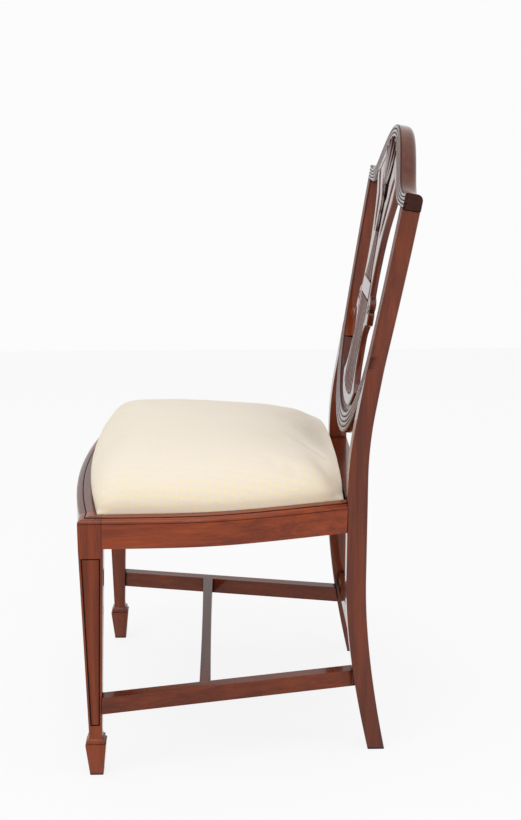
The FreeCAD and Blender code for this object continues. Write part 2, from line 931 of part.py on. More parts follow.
def rear_seat_rail():
    body = new_body("rear_seat_rail")
    bottom = rail_bottom - s.seat_drop
    box(
        body,
        "rail",
        (-post_inner, s.post_front, bottom),
        (post_inner, s.post_front + s.post_depth, rear_rail_top),
    )
    ledge_half = s.post_half - s.rail_thickness - s.block_gap
    box(
        body,
        "seat_ledge",
        (-ledge_half, s.post_front - s.rear_ledge, bottom),
        (ledge_half, s.post_front, rear_rail_top - s.rebate_depth),
    )
    for side in (-1, 1):
        box(body, f"tenon_{'right' if side > 0 else 'left'}", *rear_rail_tenon(side))


# Stretchers


def stretcher_line():
    """Where a side stretcher's middle line starts and ends in plan, and its angle to the Y axis."""
    start = (stretcher_front_half.value - s.stretcher_thickness.value / 2, s.spade_width.value)
    end = (stretcher_rear_half.value - s.stretcher_thickness.value / 2, s.post_front.value)
    angle = math.atan2(start[0] - end[0], end[1] - start[1])
    return start, end, angle


def shaft_back(height):
    """Y of a front leg's back face at a height on the tapered shaft."""
    neck_height = (s.spade_height + s.ledge_height + s.collar_height + s.cove_height).value
    share = (float(height) - neck_height) / (rail_bottom.value - neck_height)
    neck_back = (s.spade_width + s.neck_width).value / 2
    return neck_back + (s.leg_block.value - neck_back) * share


def post_foot_front(height):
    """Y of a rear post's front face at a height on the kicked foot."""
    curve = bezier(
        (s.post_front.value + s.kick_reach.value, 0),
        (s.post_front.value, s.kick_corner.value),
        (s.post_front.value, s.kick_height.value),
    )
    return curve.value(parameter_at(curve, float(height))).x


def side_stretcher(side, name):
    body = new_body(name)
    start, end, angle = stretcher_line()
    room = s.cut_room
    direction = FreeCAD.Rotation(FreeCAD.Vector(0, 0, 1), side * math.degrees(angle))
    place = FreeCAD.Placement(FreeCAD.Vector(side * start[0], start[1], 0), direction)
    half = s.stretcher_thickness / 2
    length = math.hypot(start[0] - end[0], end[1] - start[1])
    box(
        body,
        "bar",
        (-half, -room, s.stretcher_bottom),
        (half, length + room, s.stretcher_top),
        frame=place,
    )
    # Each end is scribed to the slope of the leg that it meets.
    height = s.stretcher_top - s.stretcher_bottom
    beyond = 2 * room
    ends = (("front_end", start, shaft_back, -beyond, 0), ("rear_end", end, post_foot_front, 0, beyond))
    for label, at, face, y_low, y_high in ends:
        low = face(s.stretcher_bottom)
        high = face(s.stretcher_top)
        lean = math.degrees(math.atan2(low - high, height.value))
        slope = FreeCAD.Placement(
            FreeCAD.Vector(side * at[0], low, s.stretcher_bottom.value), FreeCAD.Rotation(X_AXIS, lean)
        )
        x_reach = half + room
        box(body, label, (-x_reach, y_low, -room), (x_reach, y_high, height + room), cut=True, frame=slope)
    box(body, "front_tenon", *side_stretcher_tenon(side, "front"))
    box(body, "rear_tenon", *side_stretcher_tenon(side, "rear"))
    mortise(body, "cross_mortise", *cross_tenon(side, s.mortise_room))


def stretcher_inner(y):
    """X of a side stretcher's inner face at a Y."""
    start, end, angle = stretcher_line()
    middle = start[0] - (float(y) - start[1]) * math.tan(angle)
    return middle - s.stretcher_thickness.value / 2 / math.cos(angle)


def cross_tenon(side, room=0):
    face = stretcher_inner(s.cross_front + s.cross_depth / 2)
    x_low, x_high = across(side, face - s.cross_tenon / 2, face + s.cross_tenon + room)
    middle = s.cross_front + s.cross_depth / 2
    return (
        (x_low, middle - s.tenon_thickness / 2, s.stretcher_bottom + s.tenon_shoulder),
        (x_high, middle + s.tenon_thickness / 2, s.stretcher_top - s.tenon_shoulder),
    )


def cross_stretcher():
    body = new_body("cross_stretcher")
    angle = stretcher_line()[2]
    front = s.cross_front.value
    back = front + s.cross_depth.value
    waist = s.cross_waist.value
    reach = stretcher_inner(front) + s.stretcher_tenon.value
    room = s.cut_room
    edges = (
        [circular((-reach, front), (0, front + waist), (reach, front))]
        + lines((reach, front), (reach, back))
        + [circular((reach, back), (0, back - waist), (-reach, back))]
        + lines((-reach, back), (-reach, front))
    )
    extrude(body, "bar", "XY_Plane", edges, s.stretcher_bottom, s.stretcher_top)
    for side in (-1, 1):
        label = "right" if side > 0 else "left"
        corner = FreeCAD.Vector(side * stretcher_inner(front), front, 0)
        turn = FreeCAD.Rotation(FreeCAD.Vector(0, 0, 1), side * math.degrees(angle))
        place = FreeCAD.Placement(corner, turn)
        x_low, x_high = across(side, 0, room)
        low = (x_low, -room, s.stretcher_bottom - room)
        high = (x_high, s.cross_depth + room, s.stretcher_top + room)
        box(body, f"end_{label}", low, high, cut=True, frame=place)
        box(body, f"tenon_{label}", *cross_tenon(side))


def rear_stretcher():
    body = new_body("rear_stretcher")
    low = s.rear_stretcher_top - s.rear_stretcher_height
    front = rear_stretcher_front
    box(
        body,
        "bar",
        (-post_inner, front, low),
        (post_inner, front + s.rear_stretcher_depth, s.rear_stretcher_top),
    )
    for side in (-1, 1):
        box(body, f"tenon_{'right' if side > 0 else 'left'}", *rear_stretcher_tenon(side))


# Shield back, drawn flat in the leaning frame

# The crest's top line: share of the half width, and share of the rise from the dip to the peak.
CREST_LINE = ((1.0, None), (0.86, 0.0), (0.687, 0.11), (0.515, 0.41), (0.34, 0.72), (0.17, 0.93), (0.0, 1.0))
# The underside of the crest beyond the splat: share of the way from the ear to the splat, share of the rise.
CREST_UNDERSIDE = ((0.0, 0.0), (0.55, 0.0), (0.74, 0.2), (0.91, 0.65), (1.0, 1.0))


def crest_top_points():
    rise_height = (s.crest_height - crest_dip).value
    pairs = []
    for across_share, up_share in CREST_LINE:
        height = ear_height.value if up_share is None else crest_dip.value + rise_height * up_share
        pairs.append((ear_half.value * across_share, rise(height).value))
    return pairs


def crest_arch_points():
    """The crest's lower edge over the splat, from the splat's edge up to the middle."""
    climb = crest_arch - crest_shoulder
    shares = ((1.0, 0.0), (0.72, 0.24), (0.38, 0.83), (0.0, 1.0))
    pairs = []
    for x_share, up_share in shares:
        pairs.append(((s.splat_half * x_share).value, rise(crest_shoulder + climb * up_share).value))
    return pairs


def crest_underside_points():
    start = ear_half.value
    end = s.splat_half.value
    low = crest_joint.value
    high = crest_shoulder.value
    straight = (ear_half - s.post_width - s.ear_flat).value
    pairs = [(start, rise(low).value)]
    for along, up in CREST_UNDERSIDE[1:]:
        pairs.append((start + (end - start) * along, rise(low + (high - low) * up).value))
    pairs[1] = (min(pairs[1][0], straight), pairs[1][1])
    return pairs


def crest_rail():
    body = new_body("crest_rail", shield_frame)
    top = crest_top_points()
    arch = crest_arch_points()
    underside = crest_underside_points()
    edges = (
        [spline(*top, *mirrored(top)[1:])]
        + lines(mirrored(top)[-1], mirrored(underside)[-1], mirrored(underside)[-2])
        + [spline(*mirrored(underside)[:-1])]
        + [spline(*mirrored(arch)[::-1][:1], *mirrored(arch)[::-1][1:], *arch[::-1][1:])]
        + [spline(*underside[1:])]
        + lines(underside[1], underside[0], top[0])
    )
    extrude(body, "rail", "XZ_Plane", edges, 0, s.shield_depth + s.crest_overhang)

    def is_back_top(edge, middle):
        at_back = abs(middle.y - (s.shield_depth + s.crest_overhang).value) < 0.01
        return at_back and middle.z > rise(crest_arch + s.crest_round).value and edge.Length > ear_half.value

    round_edges(body, "back_round", s.crest_round, is_back_top)
    for side in (-1, 1):
        label = "right" if side > 0 else "left"
        mortise(body, f"post_mortise_{label}", *crest_tenon(side, s.mortise_room))
    for label, low, high in splat_top_tenons(s.mortise_room):
        mortise(body, f"splat_mortise_{label}", low, high)


def shield_lower_rail():
    body = new_body("shield_lower_rail", shield_frame)
    joint = rise(shield_joint).value
    outer_centre = (rise(shield_bottom) + shield_outer_radius).value
    outer_end = outer_centre - math.sqrt(shield_outer_radius.value ** 2 - post_inner.value ** 2)
    inner_half = inner_arc_half(joint)
    face = post_inner.value
    edges = (
        [circular((-inner_half, joint), (0, rise(shield_hollow)), (inner_half, joint))]
        + lines((inner_half, joint), (face, joint), (face, outer_end))
        + [circular((face, outer_end), (0, rise(shield_bottom)), (-face, outer_end))]
        + lines((-face, outer_end), (-face, joint), (-inner_half, joint))
    )
    extrude(body, "rail", "XZ_Plane", edges, 0, s.shield_depth)
    for side in (-1, 1):
        box(body, f"tenon_{'right' if side > 0 else 'left'}", *lower_rail_tenon(side))
    mortise(body, "splat_mortise", *splat_neck(s.mortise_room))


# The splat's edge from its top corner down to its foot, and its two pairs of slots: share of the half width,
# and share of the height from the foot to the top corner, then from 1 to 2 up the crest's arch.
SPLAT_SIDE = (
    (1.0, 1.0), (0.811, 0.906), (0.647, 0.828), (0.542, 0.753), (0.487, 0.67), (0.471, 0.587), (0.504, 0.512),
)
SPLAT_LOBE = ((0.504, 0.512), (0.639, 0.463), (0.588, 0.413))
SPLAT_VASE = ((0.588, 0.413), (0.429, 0.352), (0.433, 0.269), (0.521, 0.172), (0.723, 0.102))
SPLAT_BASE = ((0.723, 0.102), (0.555, 0.047), (0.387, 0.019), (0.0, 0.0))
OUTER_SLOT_OUT = ((0.72, 1.176), (0.785, 1.0), (0.69, 0.961), (0.571, 0.906), (0.44, 0.817), (0.31, 0.762))
OUTER_SLOT_IN = ((0.31, 0.762), (0.345, 0.817), (0.454, 0.906), (0.571, 0.961), (0.65, 0.995), (0.72, 1.176))
INNER_SLOT_OUT = ((0.395, 1.73), (0.42, 1.387), (0.36, 1.026), (0.302, 0.961), (0.244, 0.925), (0.15, 0.904))
INNER_SLOT_IN = ((0.15, 0.904), (0.076, 0.925), (0.09, 0.961), (0.168, 1.026), (0.26, 1.44), (0.395, 1.73))


def splat_height(share):
    if share > 1:
        return crest_shoulder + (crest_arch - crest_shoulder) * (share - 1)
    return splat_foot + (crest_shoulder - splat_foot) * share


def splat_points(shares):
    pairs = []
    for x_share, up_share in shares:
        pairs.append(((s.splat_half * x_share).value, rise(splat_height(up_share)).value))
    return pairs


def splat_top_tenons(room=0):
    """Label and corners of the three tongues that hold the splat in the crest."""
    depth_low = s.splat_recess
    depth_high = s.splat_recess + s.splat_thickness
    middle_half = s.splat_half * 0.25
    tongues = [(
        "middle",
        (-middle_half, depth_low, rise(crest_arch) - s.splat_tongue_root),
        (middle_half, depth_high, rise(crest_arch) + s.splat_tenon + room),
    )]
    for side in (-1, 1):
        x_low, x_high = across(side, s.splat_half * 0.82, s.splat_half * 0.94)
        low = (x_low, depth_low, rise(crest_shoulder) - s.splat_side_root)
        high = (x_high, depth_high, rise(crest_shoulder) + s.splat_tenon + room)
        tongues.append(("right" if side > 0 else "left", low, high))
    return tongues


def splat_neck(room=0):
    low = (-s.splat_neck_half, s.splat_recess, rise(shield_hollow) - s.splat_tenon - room)
    high = (s.splat_neck_half, s.splat_recess + s.splat_thickness, rise(splat_foot) + s.splat_neck_root)
    return low, high


def splat():
    body = new_body("splat", shield_frame)
    arch = crest_arch_points()
    right = [splat_points(shares) for shares in (SPLAT_SIDE, SPLAT_LOBE, SPLAT_VASE)]
    base = splat_points(SPLAT_BASE)
    edges = [spline(*mirrored(arch)[::-1], *arch[::-1][1:])]
    for pairs in right:
        edges.append(spline(*pairs))
    edges.append(spline(*base, *mirrored(base)[1:]))
    for pairs in reversed(right):
        edges.append(spline(*mirrored(pairs)))
    for outward, inward in ((OUTER_SLOT_OUT, OUTER_SLOT_IN), (INNER_SLOT_OUT, INNER_SLOT_IN)):
        out_pairs = splat_points(outward)
        in_pairs = splat_points(inward)
        edges += [spline(*out_pairs), spline(*in_pairs)]
        edges += [spline(*mirrored(out_pairs)), spline(*mirrored(in_pairs))]
    extrude(body, "board", "XZ_Plane", edges, s.splat_recess, s.splat_recess + s.splat_thickness)
    for label, low, high in splat_top_tenons():
        box(body, f"tongue_{label}", low, high)
    box(body, "neck", *splat_neck())


# Corner blocks and their screws


def side_inner(side_y):
    """X of a side rail's inner face at a Y, as a distance from the middle."""
    curve = side_curve(1, s.rail_thickness, s.leg_block, s.post_front)
    low, high = curve.FirstParameter, curve.LastParameter
    for _ in range(50):
        middle = (low + high) / 2
        if curve.value(middle).y < float(side_y):
            low = middle
        else:
            high = middle
    return curve.value(low).x


def block_corners(end):
    """Plan corners of a right-hand block: the rails' corner, then one along each rail."""
    reach = s.block_reach.value
    gap = s.block_gap.value
    if end == "front":
        corner = (leg_inner.value - gap, s.leg_block.value + gap)
        along = leg_inner.value - reach
        on_cross_rail = (along, front_face(s.rail_thickness, along) + gap)
        side_y = s.leg_block.value + reach
    else:
        ledge = (s.post_front - s.rear_ledge).value
        corner = (side_inner(ledge) - gap, ledge)
        on_cross_rail = (corner[0] - reach, ledge)
        side_y = ledge - reach
    return corner, on_cross_rail, (side_inner(side_y) - gap, side_y)


def front_face(setback, x):
    """Y of the bowed front line at an X."""
    return float(setback) - s.front_bow.value * (1 - (x / leg_inner.value) ** 2)


def block_levels(end):
    high = rebate_floor - s.tenon_shoulder - (s.seat_drop if end == "rear" else 0)
    return high - s.block_height, high


def block_screws(side, end):
    """Head end and direction of the two screws in a block: one into each rail."""
    corner, cross, along = block_corners(end)
    low, high = block_levels(end)
    middle = (low.value + high.value) / 2
    share = 0.35
    recess = s.screw_head_radius.value + s.screw_head_height.value
    lift = (s.screw_head_radius + s.block_screw_stagger).value
    toward = -1 if end == "front" else 1
    cross_x = corner[0] + (cross[0] - corner[0]) * share
    cross_y = cross[1] + (along[1] - cross[1]) * (cross_x - cross[0]) / (along[0] - cross[0])
    side_y = corner[1] + (along[1] - corner[1]) * share
    side_x = cross[0] + (along[0] - cross[0]) * (side_y - cross[1]) / (along[1] - cross[1])
    into_cross = FreeCAD.Vector(side * cross_x, cross_y + toward * recess, middle + lift)
    into_side = FreeCAD.Vector(side * (side_x + recess), side_y, middle - lift)
    return (into_cross, FreeCAD.Vector(0, toward, 0)), (into_side, FreeCAD.Vector(side, 0, 0))


def corner_block(side, end, name):
    body = new_body(name)
    corners = [(side * x, y) for x, y in block_corners(end)]
    low, high = block_levels(end)
    extrude(body, "block", "XY_Plane", closed(*corners), low, high)
    play = s.mortise_play
    for number, (start, direction) in enumerate(block_screws(side, end), start=1):
        turn = FreeCAD.Rotation(FreeCAD.Vector(0, 0, 1), direction)
        clear = s.block_screw_access
        head = body.newObject("PartDesign::SubtractiveCylinder", f"screw_head_hole_{number}")
        bind(head, "Radius", s.screw_head_radius + play)
        bind(head, "Height", clear + s.screw_head_height)
        head.Placement = FreeCAD.Placement(start - direction * clear.value, turn)
        shank = body.newObject("PartDesign::SubtractiveCylinder", f"screw_hole_{number}")
        bind(shank, "Radius", s.screw_radius + play)
        bind(shank, "Height", s.screw_length)
        shank.Placement = FreeCAD.Placement(start, turn)


def fastener(start, direction, head_radius, head_height, radius, length):
    """A headed fastener whose head starts at a point and whose shank runs on in the direction."""
    head = Part.makeCylinder(float(head_radius), float(head_height), start, direction)
    shank_start = start + direction * (float(head_height) * 0.5)
    shank = Part.makeCylinder(float(radius), float(length) - float(head_height) * 0.5, shank_start, direction)
    return head.fuse(shank).removeSplitter()


def fasteners(name, shapes, frame=None):
    """Many identical fasteners in one sub-part."""
    piece = doc.addObject("Part::Feature", name)
    piece.Label = name
    piece.Shape = Part.makeCompound(shapes)
    piece.Placement = FreeCAD.Placement(to_middle, LEVEL).multiply(frame or FreeCAD.Placement())
    parts.append(piece)


def corner_block_screws():
    sizes = (s.screw_head_radius, s.screw_head_height, s.screw_radius, s.screw_length)
    shapes = []
    for side in (-1, 1):
        for end in ("front", "rear"):
            for start, direction in block_screws(side, end):
                shapes.append(fastener(start, direction, *sizes))
    fasteners("corner_block_screws", shapes)


# Drop-in seat, drawn level and then set on the sloping rebate. Its layers from below:

cover_low = rebate_floor + s.seat_lift_gap
loose_frame_low = cover_low + s.cover_thickness
loose_frame_high = loose_frame_low + s.loose_frame_thickness
strap_high = loose_frame_high + s.strap_thickness
cross_strap_high = strap_high + s.strap_thickness
base_cloth_high = cross_strap_high + s.base_cloth_thickness

cover_inset = s.lip_reach + s.seat_play
frame_inset = cover_inset + s.cover_thickness
seat_rear = s.post_front - s.seat_rear_gap


def seat_outline(inset):
    """The seat's plan, a little inside the opening of the rails. The inset is from the outer faces."""
    inset = as_size(inset)
    half = (half_width - inset).value
    back = (seat_rear - (inset - cover_inset)).value
    front = front_curve(inset, -half, half)
    front_left, front_right = ends_of(front)
    shoulder = s.leg_block.value
    shoulder = max(shoulder, front_right[1] + s.outline_step.value)
    right = side_curve(1, inset, shoulder, back)
    left = side_curve(-1, inset, shoulder, back)
    right_front, right_rear = ends_of(right)
    left_front, left_rear = ends_of(left)
    return (
        [front]
        + lines(front_right, right_front)
        + [right]
        + lines(right_rear, left_rear)
        + [left]
        + lines(left_front, front_left)
    )


def window_half(y):
    """Half the width of the loose frame's window at a Y: straight from its front to its rear."""
    front = (half_width - frame_inset - s.loose_frame_width).value
    rear = (s.post_half - frame_inset - s.loose_frame_width).value
    share = (float(y) - s.leg_block.value) / (s.post_front - s.leg_block).value
    return front + (rear - front) * share


def frame_front_corner():
    """Where the window's side line meets the bowed front of the loose frame."""
    y = s.leg_block.value
    for _ in range(20):
        x = window_half(y)
        y = front_face(frame_inset, x)
    return x, y


loose_front_back = s.leg_block + s.loose_frame_width / 2
loose_rear = seat_rear - s.cover_thickness
loose_rear_front = loose_rear - s.loose_frame_width


def loose_tenon(side, end, room=0):
    thickness = s.loose_frame_thickness / 3
    low_z = loose_frame_low + thickness
    if end == "front":
        y_middle = (frame_inset + loose_front_back) / 2
    else:
        y_middle = loose_rear - s.loose_frame_width / 2
    reach = s.loose_frame_width / 5
    start = window_half(y_middle)
    x_low, x_high = across(side, start - s.loose_tenon_root, start + s.loose_frame_tenon + room)
    return (x_low, y_middle - reach, low_z), (x_high, y_middle + reach, low_z + thickness)


def loose_side_rail(side, name):
    body = new_body(name, seat_frame)
    half = (half_width - frame_inset).value
    corner_x, corner_y = frame_front_corner()
    front = front_curve(frame_inset, min(side * corner_x, side * half), max(side * corner_x, side * half))
    outer = side_curve(side, frame_inset, s.leg_block, loose_rear)
    outer_front, outer_rear = ends_of(outer)
    front_outer = (side * half, front_face(frame_inset, half))
    inner_rear = (side * window_half(loose_rear), loose_rear)
    edges = (
        [front]
        + lines(front_outer, outer_front)
        + [outer]
        + lines(outer_rear, inner_rear, (side * corner_x, corner_y))
    )
    extrude(body, "rail", "XY_Plane", edges, loose_frame_low, loose_frame_high)
    for end in ("front", "rear"):
        mortise(body, f"{end}_mortise", *loose_tenon(side, end, s.mortise_room))


def loose_front_rail():
    body = new_body("seat_frame_front", seat_frame)
    corner_x, corner_y = frame_front_corner()
    back = loose_front_back.value
    back_half = window_half(back)
    edges = [front_curve(frame_inset, -corner_x, corner_x)] + lines(
        (corner_x, corner_y), (back_half, back), (-back_half, back), (-corner_x, corner_y)
    )
    extrude(body, "rail", "XY_Plane", edges, loose_frame_low, loose_frame_high)
    for side in (-1, 1):
        box(body, f"tenon_{'right' if side > 0 else 'left'}", *loose_tenon(side, "front"))


def loose_rear_rail():
    body = new_body("seat_frame_rear", seat_frame)
    front = loose_rear_front
    edges = closed(
        (-window_half(front), front),
        (window_half(front), front),
        (window_half(loose_rear), loose_rear),
        (-window_half(loose_rear), loose_rear),
    )
    extrude(body, "rail", "XY_Plane", edges, loose_frame_low, loose_frame_high)
    for side in (-1, 1):
        box(body, f"tenon_{'right' if side > 0 else 'left'}", *loose_tenon(side, "rear"))


STRAP_COUNT = 4
CROSS_STRAP_COUNT = 3
# Where the tacks stand across a strap, as shares of its width from the middle
STRAP_TACKS = (-0.35, 0, 0.35)


def strap_middle(number):
    """X of a strap's middle line."""
    spacing = 2 * window_half(loose_rear_front) / STRAP_COUNT + s.strap_spread.value
    return spacing * (number - (STRAP_COUNT - 1) / 2)


def cross_strap_middle(number):
    """Y of a cross strap's middle line."""
    start = loose_front_back.value
    spacing = (loose_rear_front.value - start) / (CROSS_STRAP_COUNT + 1)
    return start + spacing * (number + 1)


def strap_ends():
    return loose_front_back - s.strap_landing, loose_rear_front + s.strap_landing


def webbing():
    start, end = strap_ends()
    half = s.strap_width / 2
    for number in range(STRAP_COUNT):
        middle = strap_middle(number)
        body = new_body(f"webbing_strap_{number + 1}", seat_frame)
        box(body, "strap", (middle - half, start, loose_frame_high), (middle + half, end, strap_high))
    for number in range(CROSS_STRAP_COUNT):
        middle = cross_strap_middle(number)
        reach = window_half(middle) + s.strap_landing
        body = new_body(f"webbing_cross_strap_{number + 1}", seat_frame)
        box(body, "strap", (-reach, middle - half, strap_high), (reach, middle + half, cross_strap_high))


def webbing_tacks():
    sizes = (s.tack_head_radius, s.tack_head_height, s.tack_radius, s.tack_length)
    down = FreeCAD.Vector(0, 0, -1)
    start, end = strap_ends()
    edge = (s.tack_head_radius + s.tack_margin).value
    shapes = []
    for number in range(STRAP_COUNT):
        top = (strap_high + s.tack_head_height).value
        for step in STRAP_TACKS:
            x = strap_middle(number) + step * s.strap_width.value
            for y in (start.value + edge, end.value - edge):
                shapes.append(fastener(FreeCAD.Vector(x, y, top), down, *sizes))
    for number in range(CROSS_STRAP_COUNT):
        top = (cross_strap_high + s.tack_head_height).value
        reach = window_half(cross_strap_middle(number)) + s.strap_landing.value - edge
        for step in STRAP_TACKS:
            y = cross_strap_middle(number) + step * s.strap_width.value
            for side in (-1, 1):
                shapes.append(fastener(FreeCAD.Vector(side * reach, y, top), down, *sizes))
    fasteners("webbing_tacks", shapes, seat_frame)


def base_cloth():
    body = new_body("base_cloth", seat_frame)
    low = cross_strap_high + s.tack_head_height
    extrude(
        body,
        "cloth",
        "XY_Plane",
        seat_outline(frame_inset + s.base_cloth_margin),
        low,
        low + s.base_cloth_thickness,
    )


# The cushion's crown: share of its height, share of its width that is left there, and how far
# the front and the rear are drawn in, as shares of its length.
CROWN = (
    (0.0, 1.0, 0.0, 0.0),
    (0.33, 0.97, 0.013, 0.013),
    (0.545, 0.905, 0.04, 0.035),
    (0.71, 0.81, 0.075, 0.102),
    (0.83, 0.695, 0.108, 0.226),
    (0.91, 0.575, 0.143, 0.328),
    (0.97, 0.4, 0.202, 0.43),
    (1.0, 0.2, 0.291, 0.511),
)


def crown_sections(body, label, inset, crown):
    """Level outlines of the cushion, drawn in more and more towards the crown."""
    inset = float(inset)
    length = (seat_rear - cover_inset).value
    sections = []
    for number, (share, left_share, front_in, rear_in) in enumerate(CROWN):
        half = (half_width.value - inset) * left_share
        rear_half = (s.post_half.value - inset) * left_share
        bend_half = (s.side_bend_half.value - inset) * left_share
        back = seat_rear.value - (inset - cover_inset.value) - length * rear_in
        front = front_curve(inset + length * front_in, -half, half)
        front_left, front_right = ends_of(front)
        bend = (front_right[1] + back) / 2
        right = bezier(front_right, (bend_half, bend), (bend_half, bend), (rear_half, back))
        left = bezier((-rear_half, back), (-bend_half, bend), (-bend_half, bend), front_left)
        edges = [front, right] + lines((rear_half, back), (-rear_half, back)) + [left]
        height = s.seat_height + crown * share
        sections.append(sketch_on(body, f"{label}_{number}", "XY_Plane", edges, height))
    return sections


def stuffing_pad():
    body = new_body("stuffing_pad", seat_frame)
    inset = frame_inset + s.cushion_gap
    crown = s.cushion_crown - s.cover_thickness - s.cushion_gap
    loft(body, "crown", crown_sections(body, "level", inset, crown), ruled=False)
    base = base_cloth_high + s.tack_head_height + s.cushion_gap
    room = s.cut_room
    reach = half_width + room
    low = (-reach, -s.front_bow - room, s.seat_height - room)
    box(body, "flat_base", low, (reach, s.post_front + room, base), cut=True)


def seat_cover():
    body = new_body("seat_cover", seat_frame)
    extrude(body, "skirt", "XY_Plane", seat_outline(cover_inset), cover_low, s.seat_height)
    loft(body, "crown", crown_sections(body, "outer", cover_inset, s.cushion_crown), ruled=False)
    inner = frame_inset
    extrude(body, "skirt_inside", "XY_Plane", seat_outline(inner), loose_frame_low, s.seat_height, cut=True)
    inner_crown = s.cushion_crown - s.cover_thickness
    loft(body, "crown_inside", crown_sections(body, "inner", inner, inner_crown), ruled=False, cut=True)
    window = seat_outline(inner + s.cover_turn_in)
    low = cover_low - s.cut_spare
    high = loose_frame_low + s.cut_spare
    extrude(body, "underside_window", "XY_Plane", window, low, high, cut=True)


def dust_cover():
    body = new_body("dust_cover", seat_frame)
    outline = seat_outline(frame_inset + s.cover_turn_in * 0.6)
    extrude(body, "cloth", "XY_Plane", outline, cover_low - s.dust_cloth_thickness, cover_low)


def cover_tacks():
    sizes = (s.tack_head_radius, s.tack_head_height, s.tack_radius, s.tack_length)
    up = FreeCAD.Vector(0, 0, 1)
    low = (cover_low - s.dust_cloth_thickness - s.tack_head_height).value
    inset = frame_inset + s.cover_turn_in * 0.82
    shapes = []
    for edge in seat_outline(inset):
        curve = edge.toShape()
        count = round(curve.Length / s.tack_spacing.value)
        span = curve.LastParameter - curve.FirstParameter
        for number in range(count):
            place = curve.valueAt(curve.FirstParameter + span * (number + 0.5) / count)
            shapes.append(fastener(FreeCAD.Vector(place.x, place.y, low), up, *sizes))
    fasteners("cover_tacks", shapes, seat_frame)


for side, hand in ((-1, "left"), (1, "right")):
    front_leg(side, f"front_leg_{hand}")
    rear_post(side, f"rear_post_{hand}")
    side_seat_rail(side, f"side_seat_rail_{hand}")
    side_stretcher(side, f"side_stretcher_{hand}")
front_seat_rail()
rear_seat_rail()
cross_stretcher()
rear_stretcher()
crest_rail()
shield_lower_rail()
splat()
for side, hand in ((-1, "left"), (1, "right")):
    for end in ("front", "rear"):
        corner_block(side, end, f"corner_block_{end}_{hand}")
    loose_side_rail(side, f"seat_frame_{hand}")
corner_block_screws()
loose_front_rail()
loose_rear_rail()
webbing()
webbing_tacks()
base_cloth()
stuffing_pad()
seat_cover()
dust_cover()
cover_tacks()

doc.recompute()


def check_document():
    """Stops the build if an object failed, a sub-part is not a sound shape, or a cut removed nothing."""
    faults = []
    for piece in parts:
        for feature in getattr(piece, "Group", []):
            if any(state in feature.State for state in ("Invalid", "Error")):
                faults.append(f"{piece.Label}: {feature.Name} failed")
            elif feature.TypeId == "PartDesign::Pocket" or "Subtractive" in feature.TypeId:
                if abs(feature.BaseFeature.Shape.Volume - feature.Shape.Volume) < 1e-3:
                    faults.append(f"{piece.Label}: {feature.Name} cuts nothing")
        if piece.Shape.isNull() or not piece.Shape.isValid():
            faults.append(f"{piece.Label} has no sound shape")
    if faults:
        raise RuntimeError("; ".join(faults))


check_document()
os.makedirs("parts", exist_ok=True)
for piece in parts:
    print(piece.Label, len(piece.Shape.Solids), round(piece.Shape.Volume))
    piece.Shape.exportStep(f"parts/{piece.Label}.step")
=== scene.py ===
import math

import bmesh
import bpy
import numpy as np
from mathutils import Matrix, Vector, noise
from mathutils.bvhtree import BVHTree


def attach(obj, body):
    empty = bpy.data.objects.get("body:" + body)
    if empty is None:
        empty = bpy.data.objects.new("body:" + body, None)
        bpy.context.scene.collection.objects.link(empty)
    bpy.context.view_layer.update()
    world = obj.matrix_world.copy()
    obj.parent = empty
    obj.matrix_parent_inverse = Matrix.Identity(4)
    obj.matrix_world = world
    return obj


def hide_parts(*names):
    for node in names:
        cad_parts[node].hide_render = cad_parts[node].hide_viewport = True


# A shield back dining chair. X is across, Y to the back and Z up, in metres. Sizes of the woodwork are
# written in millimetres, measured from the front faces of the front legs, and placed by to_room().
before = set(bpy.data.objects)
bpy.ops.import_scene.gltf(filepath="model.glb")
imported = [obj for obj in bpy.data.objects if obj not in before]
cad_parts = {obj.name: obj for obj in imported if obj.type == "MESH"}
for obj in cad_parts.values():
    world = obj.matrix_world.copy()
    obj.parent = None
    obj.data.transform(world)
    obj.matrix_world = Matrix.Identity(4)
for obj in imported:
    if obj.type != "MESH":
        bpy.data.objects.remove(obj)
bpy.context.scene.view_settings.view_transform = "Standard"
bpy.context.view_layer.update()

MM = 0.001
CHAIR_MIDDLE = 244.75
CHAIR_HALF = 265
SEAT_HEIGHT = 417
LEG_BLOCK = 36
LEG_INNER = CHAIR_HALF - LEG_BLOCK
FRONT_BOW = 21
SIDE_BEND = 258.3
SIDE_BEND_REACH = 204
POST_FRONT = 401.5
POST_HALF = 196.5


def to_room(x, y, z):
    return Vector((x * MM, (y - CHAIR_MIDDLE) * MM, z * MM))


# Camera, lamps and stage

CAMERA_PLACE = (2.1188, -0.02676, 1.07863)
CAMERA_DIRECTION = (-0.96545459, 0.02591474, -0.25927951)
CAMERA_ROLL = -0.001
FOCAL_PIXELS = 1345.06
PHOTO_HEIGHT = 820
SENSOR = 36


def set_camera():
    data = bpy.data.cameras.new("view_of_chair")
    data.sensor_fit = "VERTICAL"
    data.sensor_height = SENSOR
    data.lens = FOCAL_PIXELS * SENSOR / PHOTO_HEIGHT
    data.clip_end = 50
    camera = bpy.data.objects.new("view_of_chair", data)
    bpy.context.scene.collection.objects.link(camera)
    turn = Vector(CAMERA_DIRECTION).to_track_quat("-Z", "Y").to_matrix().to_4x4()
    camera.matrix_world = Matrix.Translation(CAMERA_PLACE) @ turn @ Matrix.Rotation(CAMERA_ROLL, 4, "Z")
    bpy.context.scene.camera = camera


def add_lamp(name, place, target, size, power):
    data = bpy.data.lights.new(name, "AREA")
    data.shape = "RECTANGLE"
    data.size, data.size_y = size
    data.energy = power
    lamp = bpy.data.objects.new(name, data)
    bpy.context.scene.collection.objects.link(lamp)
    lamp.location = place
    lamp.rotation_euler = (Vector(target) - Vector(place)).to_track_quat("-Z", "Y").to_euler()


# Shader maths


